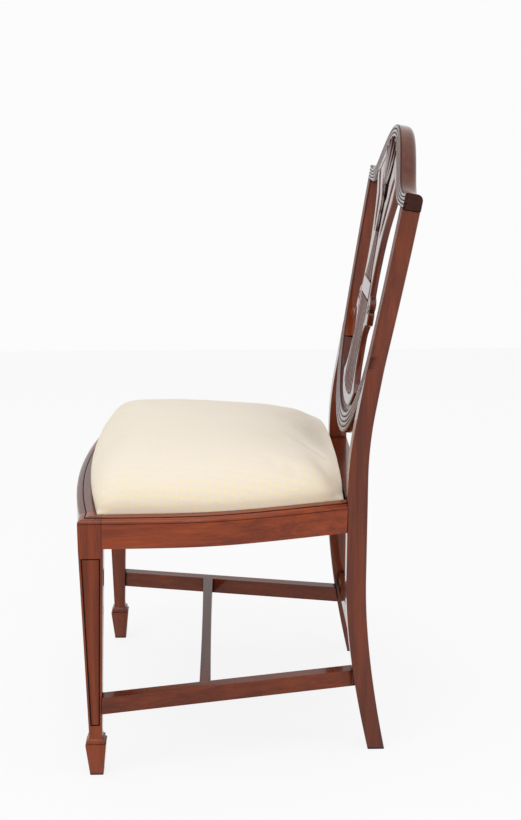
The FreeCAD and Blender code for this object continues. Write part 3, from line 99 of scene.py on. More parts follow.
class Number:
    """A socket that carries a number. Its sums add Math nodes."""

    def __init__(self, finish, socket):
        self.finish = finish
        self.socket = socket

    def maths(self, operation, *values):
        made = self.finish.node("ShaderNodeMath", {"operation": operation}, dict(enumerate(values)))
        return Number(self.finish, made.outputs[0])

    def __add__(self, other):
        return self.maths("ADD", self, other)

    __radd__ = __add__

    def __sub__(self, other):
        return self.maths("SUBTRACT", self, other)

    def __rsub__(self, other):
        return self.maths("SUBTRACT", other, self)

    def __mul__(self, other):
        return self.maths("MULTIPLY", self, other)

    __rmul__ = __mul__

    def __truediv__(self, other):
        return self.maths("DIVIDE", self, other)

    def __mod__(self, other):
        return self.maths("FLOORED_MODULO", self, other)

    def floor(self):
        return self.maths("FLOOR", self)

    def below(self, other):
        return self.maths("LESS_THAN", self, other)

    def absolute(self):
        return self.maths("ABSOLUTE", self)

    def clamped(self):
        return self.maths("MAXIMUM", self.maths("MINIMUM", self, 1), 0)


MIX_COLOURS = (6, 7)
MIX_RESULT = 2


class Finish:
    """One procedural material."""

    def __init__(self, name):
        self.material = bpy.data.materials.new(name)
        self.material.use_nodes = True
        self.tree = self.material.node_tree
        self.shader = self.tree.nodes["Principled BSDF"]

    def set(self, sockets, name, value):
        socket = sockets[name]
        if isinstance(value, Number):
            value = value.socket
        if isinstance(value, bpy.types.NodeSocket):
            self.tree.links.new(value, socket)
        else:
            socket.default_value = value

    def node(self, kind, settings=None, inputs=None):
        made = self.tree.nodes.new(kind)
        for name, value in (settings or {}).items():
            if name == "stops":
                while len(made.color_ramp.elements) < len(value):
                    made.color_ramp.elements.new(0.5)
                for element, (place, colour) in zip(made.color_ramp.elements, value):
                    element.position = place
                    element.color = (*colour, 1)
            else:
                setattr(made, name, value)
        for name, value in (inputs or {}).items():
            self.set(made.inputs, name, value)
        return made

    def surface(self, **values):
        for name, value in values.items():
            self.set(self.shader.inputs, name.replace("_", " "), value)

    def place(self, scale=(1, 1, 1), shift=(0, 0, 0)):
        return self.mapped(self.node("ShaderNodeTexCoord").outputs["Object"], scale, shift)

    def mapped(self, where, scale, shift=(0, 0, 0)):
        inputs = {"Vector": where, "Scale": scale, "Location": shift}
        return self.node("ShaderNodeMapping", None, inputs).outputs[0]

    def creases(self, reach):
        """1 in the open and less in corners and grooves that are narrower than the reach."""
        made = self.node("ShaderNodeAmbientOcclusion", {"samples": 8}, {"Distance": reach})
        return Number(self, made.outputs["AO"])

    def noise(self, where, scale, detail=4.0, roughness=0.55, distortion=0.0):
        inputs = {"Vector": where, "Scale": scale, "Detail": detail}
        inputs |= {"Roughness": roughness, "Distortion": distortion}
        return Number(self, self.node("ShaderNodeTexNoise", None, inputs).outputs["Fac"])

    def ramp(self, share, stops):
        return self.node("ShaderNodeValToRGB", {"stops": stops}, {0: share}).outputs[0]

    def mix(self, share, *colours):
        made = self.node("ShaderNodeMix", {"data_type": "RGBA"}, {0: share})
        for number, colour in zip(MIX_COLOURS, colours):
            linked = isinstance(colour, bpy.types.NodeSocket)
            self.set(made.inputs, number, colour if linked else (*colour, 1))
        return made.outputs[MIX_RESULT]

    def bump(self, height, strength, distance, base=None):
        inputs = {"Height": height, "Strength": strength, "Distance": distance}
        if base is not None:
            inputs["Normal"] = base
        return self.node("ShaderNodeBump", None, inputs).outputs[0]

    def attribute(self, name):
        return self.node("ShaderNodeAttribute", {"attribute_name": name})

    def split(self, vector):
        """The three numbers of a vector."""
        outputs = self.node("ShaderNodeSeparateXYZ", None, {0: vector}).outputs
        return [Number(self, socket) for socket in outputs]

    def facing(self):
        """The straight normal of the surface."""
        return self.node("ShaderNodeNewGeometry").outputs["Normal"]


def linear(red, green, blue):
    """A colour as it is seen, 0 to 255, turned into the light that a shader works with."""
    shares = [channel / 255 for channel in (red, green, blue)]
    return tuple(share / 12.92 if share <= 0.04045 else ((share + 0.055) / 1.055) ** 2.4
                 for share in shares)


def toned(colour, tone):
    return tuple(channel * tone for channel in colour)


# Finishes

ALONG_X = 0
ALONG_Y = 1
ALONG_Z = 2
WOOD_DARK = linear(78, 28, 10)
WOOD_MIDDLE = linear(114, 44, 14)
WOOD_WARM = linear(143, 60, 19)
WOOD_GLOW = linear(166, 80, 30)
WOOD_RUBBED_AND_HIGHLIT = linear(190, 110, 58)
PORE_AND_SHADE_DARK = linear(26, 10, 7)
WOOD_STOPS = (0.3, 0.45, 0.6, 0.78)
CREASE_REACH = 0.005
BEVEL_REACH = 0.001


def stretched(axis, share):
    """The scale that draws a pattern out along one axis."""
    return tuple(share if number == axis else 1 for number in range(3))


def polished_wood(name, axis, seed, tone=1.0, coat=0.45, hollows=False):
    """Polished mahogany: long grain, ribbon figure and pores, edges lightened as painted highlight and rubbed
    wear, and painted shade in the creases and hollows.
    """
    finish = Finish(name)
    grain_place = finish.place(scale=stretched(axis, 0.06), shift=(seed, seed * 0.7, seed * 0.4))
    figure_place = finish.place(scale=stretched(axis, 0.2), shift=(seed * 1.3, seed, seed))
    pore_place = finish.place(scale=stretched(axis, 0.03), shift=(seed, seed, 0))
    grain = finish.noise(grain_place, 90, detail=6, roughness=0.6, distortion=0.4)
    fine = finish.noise(grain_place, 420, detail=3, roughness=0.5)
    figure = finish.noise(figure_place, 9, detail=3, roughness=0.5, distortion=0.8)
    pores = finish.noise(pore_place, 900, detail=2, roughness=0.4)
    wear = finish.noise(finish.place(shift=(seed, 0, 0)), 14, detail=4)
    share = grain * 0.5 + fine * 0.2 + figure * 0.45 - 0.07
    woods = [toned(wood, tone) for wood in (WOOD_DARK, WOOD_MIDDLE, WOOD_WARM, WOOD_GLOW)]
    colour = finish.ramp(share, tuple(zip(WOOD_STOPS, woods)))
    pore_mark = (pores * 6 - 3.9).clamped()
    colour = finish.mix(pore_mark * 0.4, colour, PORE_AND_SHADE_DARK)
    height = pore_mark * -0.6 + fine * 0.25
    # Painted shade: ambient occlusion darkens the colour in creases and corners, and the marked hollows
    # darken it further.
    painted_shade = (1 - finish.creases(CREASE_REACH)) * 1.5
    if hollows:
        painted_shade = painted_shade + Number(finish, finish.attribute("hollow").outputs["Fac"])
    colour = finish.mix((painted_shade * 0.9).clamped(), colour, PORE_AND_SHADE_DARK)
    shade_mask = painted_shade.clamped()
    # Painted highlight and rubbed wear: edges, found where the bevelled normal turns away from the true one,
    # are lightened in patches.
    edge = finish.node("ShaderNodeBevel", {"samples": 6}, {"Radius": BEVEL_REACH}).outputs[0]
    both = {0: edge, 1: finish.facing()}
    bent = finish.node("ShaderNodeVectorMath", {"operation": "DOT_PRODUCT"}, both).outputs["Value"]
    rubbed_and_highlit = ((1 - Number(finish, bent)) * 2.2 * (wear * 2 - 0.35)).clamped() * (1 - shade_mask)
    colour = finish.mix(rubbed_and_highlit * 0.6, colour, toned(WOOD_RUBBED_AND_HIGHLIT, tone))
    finish.surface(
        Base_Color=colour,
        Roughness=0.13 + wear * 0.16 + pore_mark * 0.15 + shade_mask * 0.3,
        Coat_Weight=(1 - shade_mask) * coat,
        Normal=finish.bump(height, 0.25, 0.00025, edge),
    )
    finish.surface(Coat_Roughness=0.05, Specular_IOR_Level=0.12)
    return finish.material


CHECK_REPEAT = 0.0136
THREADS_IN_CHECK = 8
THREAD = CHECK_REPEAT / THREADS_IN_CHECK
THREAD_WOBBLE = 0.0034
YELLOW_THREAD = linear(248, 231, 184)
PALE_WARP = linear(236, 224, 222)
PALE_WEFT = linear(242, 231, 221)
FADED_CLOTH = linear(245, 232, 206)
LIT_TOP_CLOTH = linear(238, 230, 219)
SLUB_SHADE = linear(196, 182, 160)


def checked_cloth(name):
    """A twill check of yellow and lilac threads on cream, drawn by the threads that lie on top."""
    finish = Finish(name)
    where = finish.attribute("cloth").outputs["Vector"]
    across, along, _ = finish.split(where)
    wobble = (finish.noise(where, 70, detail=3) - 0.5) * THREAD_WOBBLE
    across = (across + wobble) / THREAD
    along = (along - wobble) / THREAD
    warp = across.floor()
    weft = along.floor()
    half_check = THREADS_IN_CHECK / 2 - 0.5
    warp_colour = finish.mix((warp % THREADS_IN_CHECK).below(half_check), PALE_WARP, YELLOW_THREAD)
    weft_colour = finish.mix((weft % THREADS_IN_CHECK).below(half_check), PALE_WEFT, YELLOW_THREAD)
    warp_on_top = ((warp + weft) % 4).below(1.5)
    colour = finish.mix(warp_on_top, weft_colour, warp_colour)
    fade = finish.noise(where, 30, detail=4)
    colour = finish.mix((fade * 1.3 - 0.12).clamped(), colour, FADED_CLOTH)
    # Painted light: faces that look up are mixed towards a paler, plainer cloth colour, as the lit top of the
    # cushion.
    _, _, upright = finish.split(finish.facing())
    lit_top = (upright * 1.6 - 0.75).clamped() * 0.75
    colour = finish.mix(lit_top, colour, LIT_TOP_CLOTH)
    slub = finish.noise(finish.mapped(where, (1, 0.15, 1)), 900)
    colour = finish.mix(slub * 0.16, colour, SLUB_SHADE)
    ridge = (across % 1 - 0.5).absolute() * warp_on_top
    ridge = ridge + (along % 1 - 0.5).absolute() * (1 - warp_on_top)
    fibre = finish.noise(where, 2600, detail=2)
    height = ridge * -1.0 + fibre * 0.5
    finish.surface(
        Base_Color=colour,
        Roughness=0.86 + slub * 0.1,
        Normal=finish.bump(height, 0.35, 0.0004),
    )
    finish.surface(Sheen_Weight=0.25, Sheen_Roughness=0.5, Specular_IOR_Level=0.2)
    return finish.material


def plain_cloth(name, dark, light, thread):
    """Plain weave in two near colours."""
    finish = Finish(name)
    where = finish.place()
    across, along, _ = finish.split(where)
    weave = ((across / thread % 1 - 0.5).absolute() + (along / thread % 1 - 0.5).absolute()).clamped()
    slub = finish.noise(where, 60, detail=5)
    colour = finish.mix((weave * 0.7 + slub * 0.4).clamped(), light, dark)
    finish.surface(
        Base_Color=colour,
        Roughness=0.9 - slub * 0.1,
        Normal=finish.bump(weave * -1.0 + slub * 0.3, 0.4, thread * 0.3),
    )
    finish.surface(Specular_IOR_Level=0.15)
    return finish.material


def bare_wood(name, axis):
    """Pale unpolished wood of the hidden rails and blocks."""
    finish = Finish(name)
    grain = finish.noise(finish.place(scale=stretched(axis, 0.06)), 110, detail=6, distortion=0.3)
    flecks = finish.noise(finish.place(scale=stretched(axis, 0.2)), 700, detail=2)
    stops = ((0.3, linear(150, 112, 72)), (0.5, linear(182, 143, 98)), (0.7, linear(205, 170, 124)))
    colour = finish.ramp(grain * 0.8 + flecks * 0.2, stops)
    finish.surface(Base_Color=colour, Roughness=0.6 + flecks * 0.2, Normal=finish.bump(grain, 0.2, 0.0003))
    return finish.material


def dull_steel(name, dark, light):
    """Scuffed steel of the screws and tacks."""
    finish = Finish(name)
    scuff = finish.noise(finish.place(), 380, detail=4)
    finish.surface(Base_Color=finish.mix(scuff, dark, light), Roughness=0.35 + scuff * 0.3, Metallic=1.0)
    finish.surface(Normal=finish.bump(scuff, 0.15, 0.0002))
    return finish.material


FLOOR_COLOUR = (0.93, 0.93, 0.935)
FLOOR_SHOWN = (0.985, 0.985, 0.99)
FLOOR_GLOW = 0.86
FLOOR_END = -2.76
FLOOR_REACH = 9
WORLD_LIGHT = 0.62
WORLD_SHOWN = 0.97
SHOWN_RAYS = ("Is Camera Ray", "Is Glossy Ray", "Is Transmission Ray")
LAMPS = (
    ("ceiling_panel", (0.6, -0.4, 2.9), (0, 0, 0.4), (2.4, 2.4), 28),
    ("window_panel", (1.9, -2.1, 1.7), (0, 0, 0.5), (1.4, 1.8), 8),
    ("rear_panel", (1.2, 2.4, 1.5), (0, 0, 0.5), (1.4, 1.4), 10),
    ("side_panel", (2.6, 0.45, 1.9), (0, 0, 0.6), (0.25, 0.5), 5),
)


def floor_paint():
    """Pale floor that keeps its shadows but shows near white, to the camera and in polish alike."""
    finish = Finish("floor_paint")
    path = finish.node("ShaderNodeLightPath").outputs
    camera_ray, glossy_ray, transmission_ray = [Number(finish, path[kind]) for kind in SHOWN_RAYS]
    seen = (camera_ray + glossy_ray + transmission_ray).clamped() * FLOOR_GLOW
    speck = finish.noise(finish.place(), 3, detail=2)
    finish.surface(Base_Color=finish.mix(speck * 0.3, FLOOR_COLOUR, toned(FLOOR_COLOUR, 0.98)))
    finish.surface(Roughness=0.7, Specular_IOR_Level=0.1)
    glow = finish.node("ShaderNodeEmission", None, {"Color": (*FLOOR_SHOWN, 1), "Strength": 1.0})
    either = {0: seen, 1: finish.shader.outputs[0], 2: glow.outputs[0]}
    mixed = finish.node("ShaderNodeMixShader", None, either)
    finish.tree.links.new(mixed.outputs[0], finish.tree.nodes["Material Output"].inputs["Surface"])
    return finish.material


def lay_floor():
    corners = [(FLOOR_END, -FLOOR_REACH, 0), (FLOOR_REACH, -FLOOR_REACH, 0)]
    corners += [(FLOOR_REACH, FLOOR_REACH, 0), (FLOOR_END, FLOOR_REACH, 0)]
    mesh = bpy.data.meshes.new("floor")
    mesh.from_pydata(corners, [], [(0, 1, 2, 3)])
    mesh.materials.append(floor_paint())
    floor = bpy.data.objects.new("floor", mesh)
    bpy.context.scene.collection.objects.link(floor)


def set_stage():
    lay_floor()
    world = bpy.data.worlds.new("studio")
    bpy.context.scene.world = world
    world.use_nodes = True
    nodes = world.node_tree.nodes
    links = world.node_tree.links
    back = nodes["Background"]
    back.inputs["Color"].default_value = (1, 1, 1, 1)
    back.inputs["Strength"].default_value = WORLD_LIGHT
    shown = nodes.new("ShaderNodeBackground")
    shown.inputs["Color"].default_value = (1, 1, 1, 1)
    shown.inputs["Strength"].default_value = WORLD_SHOWN
    path = nodes.new("ShaderNodeLightPath").outputs
    mixed = nodes.new("ShaderNodeMixShader")
    seen = path[SHOWN_RAYS[0]]
    for kind in SHOWN_RAYS[1:]:
        either = nodes.new("ShaderNodeMath")
        either.operation = "MAXIMUM"
        links.new(seen, either.inputs[0])
        links.new(path[kind], either.inputs[1])
        seen = either.outputs[0]
    links.new(seen, mixed.inputs[0])
    links.new(back.outputs[0], mixed.inputs[1])
    links.new(shown.outputs[0], mixed.inputs[2])
    links.new(mixed.outputs[0], nodes["World Output"].inputs["Surface"])
    for lamp in LAMPS:
        add_lamp(*lamp)


# Meshes


def add_piece(name, mesh):
    """An object at the origin that carries the mesh, shaded smooth."""
    mesh.polygons.foreach_set("use_smooth", [True] * len(mesh.polygons))
    piece = bpy.data.objects.new(name, mesh)
    bpy.context.scene.collection.objects.link(piece)
    return piece


def finished_piece(name, vertices, faces, material):
    """A piece whose place is in its mesh, with its faces turned outwards."""
    mesh = bpy.data.meshes.new(name)
    mesh.from_pydata([tuple(place) for place in vertices], [], faces)
    shaper = bmesh.new()
    shaper.from_mesh(mesh)
    bmesh.ops.recalc_face_normals(shaper, faces=shaper.faces)
    shaper.to_mesh(mesh)
    shaper.free()
    mesh.materials.append(material)
    return add_piece(name, mesh)


def skin_rings(rings):
    """Vertices and faces of closed rings joined one to the next, with both ends closed."""
    count = len(rings[0])
    vertices = [place for ring in rings for place in ring]
    faces = []
    for step in range(len(rings) - 1):
        low = step * count
        for number in range(count):
            after = (number + 1) % count
            faces.append((low + number, low + after, low + count + after, low + count + number))
    for ring, start in ((rings[0], 0), (rings[-1], (len(rings) - 1) * count)):
        middle = len(vertices)
        vertices.append(sum((Vector(place) for place in ring), Vector()) / count)
        faces += [(start + number, start + (number + 1) % count, middle) for number in range(count)]
    return vertices, faces


def mark_hollows(piece, values):
    """Keeps on each point how deep it lies in the carving, for the painted shade in the hollows; the crest's
    end grain is marked in it as well, for its own darker colour.
    """
    attribute = piece.data.attributes.new("hollow", "FLOAT", "POINT")
    attribute.data.foreach_set("value", np.asarray(values, np.float32))


def sharpen(piece, degrees):
    """Keeps edges crisp where faces meet at more than the given angle."""
    shaper = bmesh.new()
    shaper.from_mesh(piece.data)
    limit = math.radians(degrees)
    for edge in shaper.edges:
        edge.smooth = len(edge.link_faces) != 2 or edge.calc_face_angle() < limit
    shaper.to_mesh(piece.data)
    shaper.free()


def skinned_piece(name, rings, material, hollows=None, end_hollow=0.0, crisp=None):
    """A piece skinned over its rings, with its hollows marked and its edges kept crisp past an angle."""
    vertices, faces = skin_rings(rings)
    piece = finished_piece(name, vertices, faces, material)
    if hollows:
        mark_hollows(piece, hollows + [end_hollow, end_hollow])
    if crisp:
        sharpen(piece, crisp)
    return piece


def run_of(line):
    """How far along a line of points each of them lies."""
    return np.concatenate([[0], np.cumsum(np.linalg.norm(np.diff(line, axis=0), axis=1))])


def smooth_through(points, count):
    """Points along the smooth curve through the given ones."""
    given = np.array(points, float)
    steps = run_of(given)
    size = len(given)
    gaps = np.diff(steps)
    matrix = np.zeros((size, size))
    right = np.zeros((size, given.shape[1]))
    matrix[0, 0] = matrix[-1, -1] = 1
    for number in range(1, size - 1):
        matrix[number, number - 1] = gaps[number - 1]
        matrix[number, number] = 2 * (gaps[number - 1] + gaps[number])
        matrix[number, number + 1] = gaps[number]
        ahead = (given[number + 1] - given[number]) / gaps[number]
        behind = (given[number] - given[number - 1]) / gaps[number - 1]
        right[number] = 6 * (ahead - behind)
    curving = np.linalg.solve(matrix, right)
    made = []
    for at in np.linspace(0, steps[-1], count):
        number = min(int(np.searchsorted(steps, at, side="right")) - 1, size - 2)
        gap = gaps[number]
        left = steps[number + 1] - at
        past = at - steps[number]
        value = (curving[number] * left ** 3 + curving[number + 1] * past ** 3) / (6 * gap)
        value = value + (given[number] / gap - curving[number] * gap / 6) * left
        value = value + (given[number + 1] / gap - curving[number + 1] * gap / 6) * past
        made.append(value)
    return np.array(made)


def mirrored(pairs):
    """A line from the far side to the near one, given its near half from the outside in."""
    return [(-x, up) for x, up in pairs] + pairs[::-1][1:]


def between(value, low, high):
    """0 below low, 1 above high and smooth in between."""
    share = np.clip((value - low) / (high - low), 0, 1)
    return share * share * (3 - 2 * share)


def held_in(value, low, high):
    return min(high, max(low, value))


def bezier_points(handles, count):
    """Points along a Bezier curve of any degree."""
    made = []
    for share in np.linspace(0, 1, count):
        points = [np.array(handle, float) for handle in handles]
        while len(points) > 1:
            points = [a * (1 - share) + b * share for a, b in zip(points, points[1:])]
        made.append(points[0])
    return np.array(made)


# The leaning shield

RAKE = math.radians(9.8)
RAKE_SINE = math.sin(RAKE)
RAKE_COSINE = math.cos(RAKE)
SHIELD_FLOOR = 318.937
SHIELD_DEPTH = 25.5
POST_WIDTH = 27.5
POST_INNER = POST_HALF - POST_WIDTH
CREST_HEIGHT = 966
EAR_HALF = 232
EAR_HEIGHT = 885
CREST_JOINT = 862
CREST_DIP = 881.5
CREST_ARCH = 925
CREST_SHOULDER = 884
SPLAT_HALF = 119
SPLAT_FOOT = 523
SHIELD_JOINT = 600
INNER_RADIUS = 178
OUTER_RADIUS = 207
REED_COUNT = 4
REED_DEPTH = 2.6
REED_END = REED_DEPTH + 0.7
STEPS_IN_REED = 7
BACK_EASED = 1.5


def rise(height):
    return height / RAKE_COSINE


INNER_CENTRE = rise(512) + INNER_RADIUS
OUTER_CENTRE = rise(480) + OUTER_RADIUS


def on_shield(x, depth, up):
    """A point by its distance across, its depth behind the front plane and its place up the slope."""
    y = SHIELD_FLOOR + depth * RAKE_COSINE + up * RAKE_SINE
    return to_room(x, y, up * RAKE_COSINE - depth * RAKE_SINE)


def reed_hollow(share):
    """How deep a row of reeds is cut, 0 on a crown and 1 in a groove, at a share across all the reeds."""
    inside = held_in(share, 0, 1 - 1e-9) * REED_COUNT % 1
    return 1 - math.sqrt(max(0.0, 1 - (2 * inside - 1) ** 2))


def reed_stops():
    """Shares across the reeds, closest near the grooves."""
    shares = []
    for reed in range(REED_COUNT):
        for step in range(STEPS_IN_REED):
            inside = 0.5 - 0.5 * math.cos(math.pi * step / STEPS_IN_REED)
            shares.append((reed + inside) / REED_COUNT)
    return shares + [1.0]


def inner_arc_half(up):
    if up > INNER_CENTRE:
        return float(INNER_RADIUS)
    return math.sqrt(max(0.0, INNER_RADIUS ** 2 - (INNER_CENTRE - up) ** 2))


LOWER_RAIL_STEPS = 121
LOWER_RAIL_BACK = (
    (1.0, REED_END), (1.0, SHIELD_DEPTH - BACK_EASED), (0.95, SHIELD_DEPTH), (0.5, SHIELD_DEPTH),
    (0.05, SHIELD_DEPTH), (0.0, SHIELD_DEPTH - BACK_EASED), (0.0, REED_END),
)


def lower_rail():
    """The curved bottom of the shield, reeded all round."""
    end_up = rise(SHIELD_JOINT)
    last = math.atan2(POST_INNER, INNER_CENTRE - end_up)
    profile = [(share, reed_hollow(share) * REED_DEPTH, reed_hollow(share)) for share in reed_stops()]
    profile += [(share, depth, 0) for share, depth in LOWER_RAIL_BACK]
    centre = np.array((0, INNER_CENTRE))
    shift = INNER_CENTRE - OUTER_CENTRE
    rings = []
    for angle in np.linspace(-last, last, LOWER_RAIL_STEPS):
        direction = np.array((math.sin(angle), -math.cos(angle)))
        inner = centre + direction * INNER_RADIUS
        along = direction[1] * shift
        outer = centre + direction * (math.sqrt(along ** 2 - shift ** 2 + OUTER_RADIUS ** 2) - along)
        ring = []
        for share, depth, _ in profile:
            x, up = inner + (outer - inner) * share
            ring.append(on_shield(held_in(x, -POST_INNER, POST_INNER), depth, min(up, end_up)))
        rings.append(ring)
    # The reed grooves are marked for painted shade.
    hollows = [hollow for _, _, hollow in profile] * LOWER_RAIL_STEPS
    return skinned_piece("shield_lower_rail_reeded", rings, shield_wood, hollows)


CREST_LINE = ((0.86, 0.0), (0.687, 0.11), (0.515, 0.41), (0.34, 0.72), (0.17, 0.93), (0.0, 1.0))
CREST_UNDERSIDE = ((0.55, 0.0), (0.74, 0.2), (0.91, 0.65), (1.0, 1.0))
CREST_ARCH_LINE = ((1.0, 0.0), (0.72, 0.24), (0.38, 0.83), (0.0, 1.0))
CREST_ROUND = 9
CREST_OVERHANG = 1
CREST_REEDS = 26
END_GRAIN = 0.62


CREST_STEPS = 281
CREST_ROUND_STEPS = 6
CREST_FALL = 0.5
CREST_WEB = (0.05, 0.15, 0.4, 0.7, 0.93, 1.0)
CREST_CRISP = 50
EAR_END = 1.5


def crest_top():
    """The crest's upper edge from ear to ear."""
    pairs = [(EAR_HALF, rise(EAR_HEIGHT))]
    for across, up in CREST_LINE:
        pairs.append((EAR_HALF * across, rise(CREST_DIP + (CREST_HEIGHT - CREST_DIP) * up)))
    return smooth_through(mirrored(pairs), 400)


def crest_arch():
    """The crest's lower edge over the splat."""
    climb = CREST_ARCH - CREST_SHOULDER
    pairs = [(SPLAT_HALF * across, rise(CREST_SHOULDER + climb * up)) for across, up in CREST_ARCH_LINE]
    return smooth_through(mirrored(pairs), 160)


def crest_bottom():
    """The crest's lower edge from ear to ear, over the splat included."""
    pairs = []
    for along, up in CREST_UNDERSIDE:
        x = EAR_HALF + (SPLAT_HALF - EAR_HALF) * along
        pairs.append((x, rise(CREST_JOINT + (CREST_SHOULDER - CREST_JOINT) * up)))
    right = np.vstack([[(EAR_HALF, rise(CREST_JOINT))], smooth_through(pairs, 40)])
    return np.vstack([right * (-1, 1), crest_arch()[1:-1], right[::-1]])


def crest_rail():
    """The arched top rail: four reeds under its upper edge and a plain web below them."""
    top = crest_top()
    bottom = crest_bottom()
    slopes = np.gradient(top[:, 1], top[:, 0])
    back = SHIELD_DEPTH + CREST_OVERHANG
    rings = []
    hollows = []
    for x in np.linspace(-EAR_HALF, EAR_HALF, CREST_STEPS):
        high = float(np.interp(x, top[:, 0], top[:, 1]))
        low = float(np.interp(x, bottom[:, 0], bottom[:, 1]))
        slope = float(np.interp(x, top[:, 0], slopes))
        height = high - low
        reeds = min(CREST_REEDS / math.cos(math.atan(slope)), height - 0.6)
        profile = []
        for share in reed_stops():
            hollow = reed_hollow(share)
            profile.append((hollow * REED_DEPTH, high - reeds * share, hollow))
        web_high, web_low = high - reeds, low + CREST_FALL
        profile += [(CREST_FALL, web_high + (web_low - web_high) * share, 0) for share in CREST_WEB]
        profile += [(1.2, low, 0), (back, low, 0)]
        rounding = min(CREST_ROUND, height * 0.4)
        for step in range(CREST_ROUND_STEPS + 1):
            turn = math.pi / 2 * step / CREST_ROUND_STEPS
            down = rounding * (1 - math.sin(turn))
            profile.append((back - rounding * (1 - math.cos(turn)), high - down, 0))
        profile.append((REED_END, high, 0))
        rings.append([on_shield(x, depth, up) for depth, up, _ in profile])
        # The reed grooves are marked for painted shade, and the end grain at the ears for its own darker
        # colour.
        least = END_GRAIN if EAR_HALF - abs(x) < EAR_END else 0
        hollows += [max(hollow, least) for _, _, hollow in profile]
    return skinned_piece("crest_rail_reeded", rings, shield_wood, hollows, END_GRAIN, CREST_CRISP)


POST_DEPTH = 30.5
BEND = 478
BEND_REACH = 52
KICK_REACH = 38.5
KICK_CORNER = 171
KICK_HEIGHT = 290
FOOT_DEPTH = 26.6
FOOT_HALF = 192.5
FLARE_LOW = 610
FLARE_BEND = 640
FLARE_HIGH = 720
FLARE_HALF = 222
ARC_END = 622
FLARE_START = 668
REEDS_START = 505
REEDS_RISE = 35
TILT_START = 640
TILT_RISE = 160
POST_STEPS = 45
POST_EASED = 1.4


def post_side_lines():
    """Tables of a rear post's front and back, Z then Y."""
    lean = RAKE_SINE / RAKE_COSINE
    raked_depth = SHIELD_DEPTH / RAKE_COSINE

    def line(foot, upright, bend, depth):
        foot_curve = bezier_points(((foot, 0), (upright, KICK_CORNER), (upright, KICK_HEIGHT)), 40)
        high = bend + BEND_REACH
        bend_high = (SHIELD_FLOOR + high * lean + depth, high)
        bend_curve = bezier_points(((upright, bend - BEND_REACH), (upright, bend), bend_high), 24)
        top = (SHIELD_FLOOR + CREST_HEIGHT * lean + depth, CREST_HEIGHT)
        whole = np.vstack([foot_curve, bend_curve, [top]])
        return whole[:, 1], whole[:, 0]

    foot = POST_FRONT + KICK_REACH
    back_bend = BEND + (POST_DEPTH - raked_depth) / lean
    front_line = line(foot, POST_FRONT, BEND, 0)
    back_line = line(foot + FOOT_DEPTH, POST_FRONT + POST_DEPTH, back_bend, raked_depth)
    return front_line, back_line


def post_edge_line(inset, foot):
    """Table of a rear post's outer or inner edge from the front, Z then X."""
    half = POST_HALF - inset
    flare = ((half, FLARE_LOW), (half, FLARE_BEND))
    flare += ((FLARE_HALF - inset, FLARE_HIGH), (EAR_HALF - inset, EAR_HEIGHT))
    whole = np.vstack([[(foot, 0), (half, SEAT_HEIGHT)], bezier_points(flare, 60)])
    return whole[:, 1], whole[:, 0]


def post_inner_edge(height, inner_line):
    """The post's inner edge, which leaves the round bottom of the shield in one smooth sweep."""
    if SHIELD_JOINT < height <= ARC_END:
        return inner_arc_half(rise(height))
    if not ARC_END < height < FLARE_START:
        return float(np.interp(height, *inner_line))
    start, end = inner_arc_half(rise(ARC_END)), float(np.interp(FLARE_START, *inner_line))
    start_slope = start - inner_arc_half(rise(ARC_END - 1))
    end_slope = float(np.interp(FLARE_START + 1, *inner_line)) - end
    span = FLARE_START - ARC_END
    share = (height - ARC_END) / span
    value = start * (1 + 2 * share) * (1 - share) ** 2 + end * (3 - 2 * share) * share ** 2
    return value + span * share * (1 - share) * (start_slope * (1 - share) - end_slope * share)


def post_heights():
    """Heights of the post's rings, closest where the reeds begin."""
    stops = ((0, 300, 40), (300, 520, 30), (520, FLARE_BEND, 90), (FLARE_BEND, CREST_JOINT, 60))
    runs = [np.linspace(low, high, count) for low, high, count in stops]
    return np.unique(np.concatenate(runs + [[SHIELD_JOINT - 0.01, SHIELD_JOINT + 0.01]]))


def reed_across(x, up, share, height):
    """How far across the reeds a point lies: they leave the round of the shield and run up the post."""
    if height >= ARC_END + 20:
        return share
    radial = math.hypot(x, INNER_CENTRE - up) - INNER_RADIUS
    shift = math.hypot(x, OUTER_CENTRE - up) - OUTER_RADIUS
    straight = float(between(height, ARC_END - 15, ARC_END + 20))
    return radial / max(radial - shift, 1) * (1 - straight) + share * straight


def rear_post(side, hand):
    """A rear leg and back post in one, reeded on its face where it is part of the shield."""
    front_line, back_line = post_side_lines()
    outer_line = post_edge_line(0, FOOT_HALF)
    inner_line = post_edge_line(POST_WIDTH, POST_INNER)
    rings = []
    hollows = []
    for height in post_heights():
        front = float(np.interp(height, *front_line))
        thick = float(np.interp(height, *back_line)) - front
        outer = float(np.interp(height, *outer_line))
        inner = post_inner_edge(height, inner_line)
        tilt = held_in((height - TILT_START) / TILT_RISE, 0.0, 1.0)
        flat = held_in((height - REEDS_START) / REEDS_RISE, 0.0, 1.0)
        profile = []
        for share in np.linspace(0, 1, POST_STEPS + 1):
            x = inner + (outer - inner) * share
            across = reed_across(x, rise(height), share, height)
            hollow = reed_hollow(across) * flat if 0 <= across < 1 else 0.0
            near_edge = max(0.0, POST_EASED - min(x - inner, outer - x))
            corner = POST_EASED - math.sqrt(max(0.0, POST_EASED ** 2 - near_edge ** 2))
            depth = max(hollow * REED_DEPTH, corner)
            profile.append((x, depth, depth / RAKE_COSINE * (1 - tilt * RAKE_SINE ** 2), hollow))
        middle = (outer + inner) / 2
        eased = thick - POST_EASED
        around = ((outer, thick / 2), (outer, eased), (outer - POST_EASED, thick), (middle, thick))
        around += ((inner + POST_EASED, thick), (inner, eased), (inner, thick / 2), (inner, REED_END))
        profile += [(x, depth, depth, 0) for x, depth in around]
        # The reed grooves are marked for painted shade.
        hollows += [hollow for _, _, _, hollow in profile]
        rings.append([
            to_room(side * x, front + behind, height - tilt * depth * RAKE_SINE)
            for x, depth, behind, _ in profile
        ])
    return skinned_piece(f"rear_post_{hand}_reeded", rings, post_wood, hollows)


# The splat

